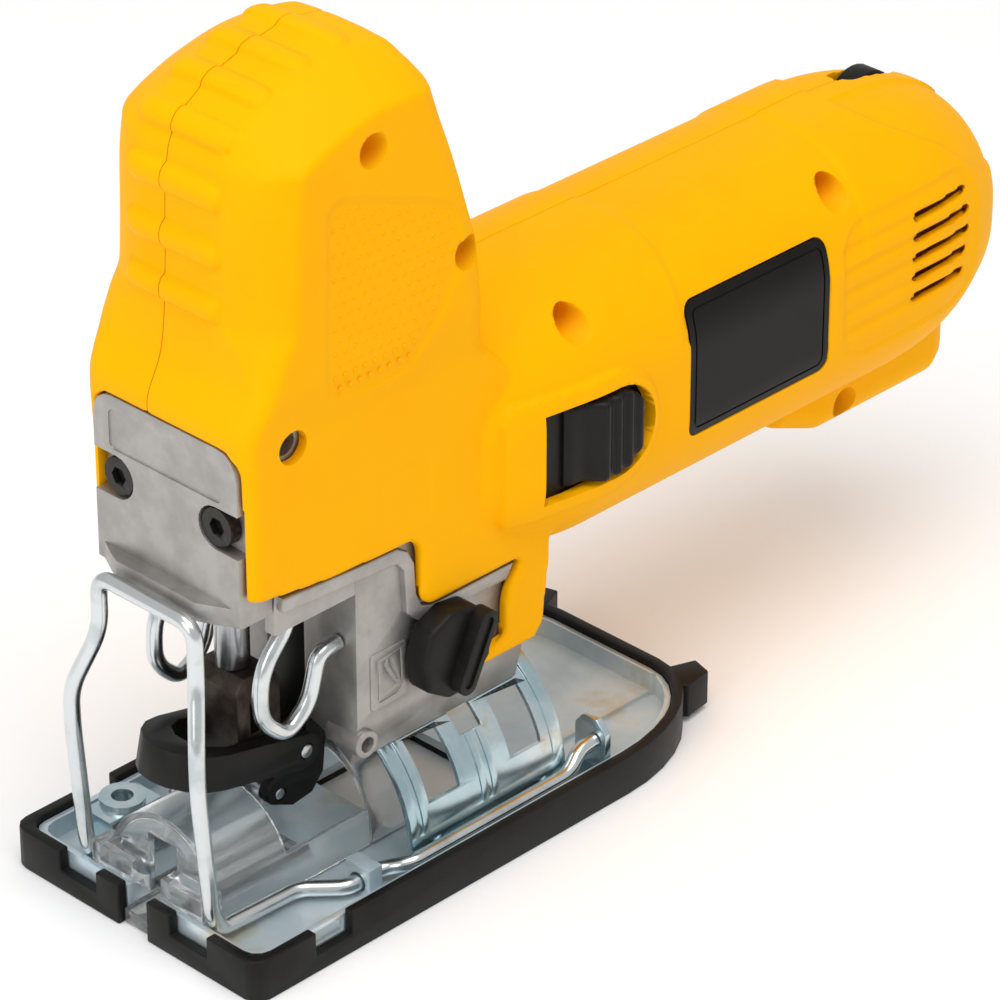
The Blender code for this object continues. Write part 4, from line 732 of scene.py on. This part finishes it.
def selector():
    """The orbit knob: a faceted base and a wing with a slot let into it."""
    cx, cz = 72.0, 54.0
    spokes = [(20, 11.3), (60, 11.5), (100, 11.2), (135, 11.5), (178, 10.6), (215, 11.5), (255, 11.2), (290, 11.5),
              (335, 11.0)]
    base = prism("orbit_selector_piece", "XZ",
                 [(cx + d * cos(radians(a)), cz + d * sin(radians(a))) for a, d in spokes], -30.4, -23.1)
    bevelled(base, 1.3, 3)
    tilt = Matrix.Rotation(radians(-26), 2)
    def turned_slot(name, half_length, half_width, low, high, shift=0.0):
        shape = rounded((-half_width + shift, half_width + shift), (-half_length, half_length), half_width, 6)
        return prism(name, "XZ", [tuple(tilt @ Vector(p) + Vector((cx + 3.0, cz))) for p in shape], low, high)
    wing = bevelled(turned_slot("wing", 10.2, 2.7, -33.6, -29.5), 0.6, 3)
    shaft = rod("shaft", "Y", (cx, -24, cz), 45, 3.9)
    union(base, [wing, shaft])
    boolean(base, [turned_slot("wing_slot", 8.6, 1.25, -40, -33.0)])
    placed(base, NYLON, "orbit_selector", smooth=32)


def gear_housing():
    """The gear casting, with the rim that the shells bed on, the wrench tube and a sunk blade mark."""
    adds, cuts = [], []
    for side in (-1, 1):
        rim = prism("rim", "XZ", [
            (25, 85.6), (46, 84.1), (59, 83.6), (62.3, 81.6), (64.3, 78), (64.8, 70), (66.4, 66.2), (69.6, 65.0),
            (95.4, 65.0), (93.2, 61.4), (70, 61.6), (65.4, 62.6), (61.8, 66), (61.2, 77), (59.0, 79.6), (46, 80.4),
            (25, 81.9)], *sorted((side * 22.0, side * 24.4)))
        adds.append(bevelled(rim, 0.5, 2))
        strap = prism("strap", "XZ", rounded((52.0, 63.0), (44.0, 58.5), 0.8, 3), *sorted((side * 22.0, side * 23.0)))
        adds.append(bevelled(strap, 0.25, 1))
    adds.append(bevelled(rod("wrench_tube", "Y", (50.0, -23.6, 37.0), 8, 3.4), 0.3, 1))
    cuts.append(rod("wrench_bore", "Y", (50.0, -40, 37.0), 24, 1.9, 24))
    line = [(54, -23.0, 46.5), (54, -23.0, 56.5), (61, -23.0, 57.2), (61.4, -23.0, 47.5), (60, -23.0, 46.2),
            (54.3, -23.0, 45.8)]
    blade = [(56.0, -23.0, 54.5), (56.3, -23.0, 55.6), (57.3, -23.0, 56), (58, -23.0, 55.2), (58.1, -23.0, 53.9),
             (60.2, -23.0, 49.2)]
    teeth = [(56.0 + 0.42 * i + (0.45 if i % 2 else 0), -23.0, 54.2 - 0.72 * i) for i in range(9)]
    for path in (line, blade, teeth):
        cuts.append(swept("mark", bent(path, 0.4, 2), 0.26, 6))
    refined("gear_case", 0.6, adds=adds, cuts=cuts)


def bevel_arch():
    """The pressed saddle: fields between its ribs lie half a millimetre lower."""
    cuts = []
    for low, high in ((59.4, 60.9), (62.7, 79.6), (81.4, 83.0), (84.9, 102.6)):
        field = prism("field", "YZ", arc(0, 8, 32.5, 6, 174, 60) + arc(0, 8, 29.95, 174, 6, 60), low, high)
        cuts.append(field)
    refined("bevel_saddle", 0.3, cuts=cuts, smooth=30)


def shoe_sheet():
    """The pressed shoe, with a stamped line behind the saddle."""
    line = prism("stamped_line", "XY", rounded((115.0, 149.0), (-19.1, -17.1), 0.9, 4), 2.7, 9)
    # the shoe's finish is zinc grey painted lighter: a painted reflection in place of the light it would mirror
    refined("shoe_plate", 0.25, SHEET_PAINTED_BRIGHT, cuts=[line])


def everything_else():
    """Every node that has no piece of its own yet: softened edges where it shows, a finish where it doesn't."""
    hidden = ("field_stator", "front_bearing", "rear_bearing", "brush_holder_left", "brush_holder_right",
              "brush_left", "brush_right", "lower_bush", "upper_bush", "gear_axle", "fork_pivot_pin",
              "switch_module", "speed_module", "armature_shaft", "armature_core", "commutator", "cooling_fan",
              "drive_gear")
    widths = {"overshoe": 0.7, "shoe_plate": 0.25, "gear_case": 0.6, "nose_cover": 0.7, "clamp_lever": 0.8,
              "chip_shield": 0.35, "orbit_selector": 0.7, "blade_clamp_body": 0.5, "roller_fork": 0.5}
    for name, node in NODES.items():
        if node.hide_render:
            continue
        if name in hidden:
            node.data.materials.clear()
            node.data.materials.append(LOOKS[SLOT_OF[name]])
        else:
            refined(name, widths.get(name, 0.25))


# ---------------------------------------------------------------- stage

CAMERA_PLACE, CAMERA_LOOK, CAMERA_LENS = (-0.7556, -0.7259, 0.6646), (0.6169, 0.6058, -0.5024), 188.96


def studio():
    """A pale floor, even light from all round, two soft boxes and the camera."""
    floor = enter("studio_floor", bpy.data.meshes.new("studio_floor"))
    bm = bmesh.new()
    bmesh.ops.create_grid(bm, x_segments=2, y_segments=2, size=6.0)
    bm.to_mesh(floor.data)
    bm.free()
    floor.data.materials.append(finish("pale_studio_floor", ("#FFFFFF", "#FFFFFF"), (0.85, 0.9), 0, 400, 20, 0.01))
    world = bpy.context.scene.world or bpy.data.worlds.new("studio")
    bpy.context.scene.world = world
    world.use_nodes = True
    world.node_tree.nodes["Background"].inputs["Color"].default_value = (1, 1, 1, 1)
    world.node_tree.nodes["Background"].inputs["Strength"].default_value = 0.62
    for name, place, aim, size, power in (
            ("overhead_softbox", (-0.25, -0.35, 1.5), (0.0, 0.0, 0.08), 1.2, 13.0),
            ("front_softbox", (-1.3, -0.1, 0.7), (0.0, 0.0, 0.1), 0.7, 4.0)):
        light = bpy.data.lights.new(name, "AREA")
        light.shape, light.size, light.energy = "SQUARE", size, power
        lamp = bpy.data.objects.new(name, light)
        bpy.context.scene.collection.objects.link(lamp)
        lamp.matrix_world = (Matrix.Translation(place)
                             @ (Vector(aim) - Vector(place)).to_track_quat("-Z", "Y").to_matrix().to_4x4())
    camera = bpy.data.cameras.new("camera")
    camera.lens, camera.sensor_width = CAMERA_LENS, 36.0
    camera.clip_start, camera.clip_end = 0.05, 20.0
    eye = bpy.data.objects.new("camera", camera)
    bpy.context.scene.collection.objects.link(eye)
    eye.matrix_world = (Matrix.Translation(CAMERA_PLACE)
                        @ Vector(CAMERA_LOOK).to_track_quat("-Z", "Y").to_matrix().to_4x4())
    bpy.context.scene.camera = eye
    bpy.context.scene.view_settings.view_transform = "Standard"


casing()
screws()
badge("left", -1)
badge("right", 1)
wires()
slider()
nose()
selector()
gear_housing()
bevel_arch()
shoe_sheet()
everything_else()
studio()
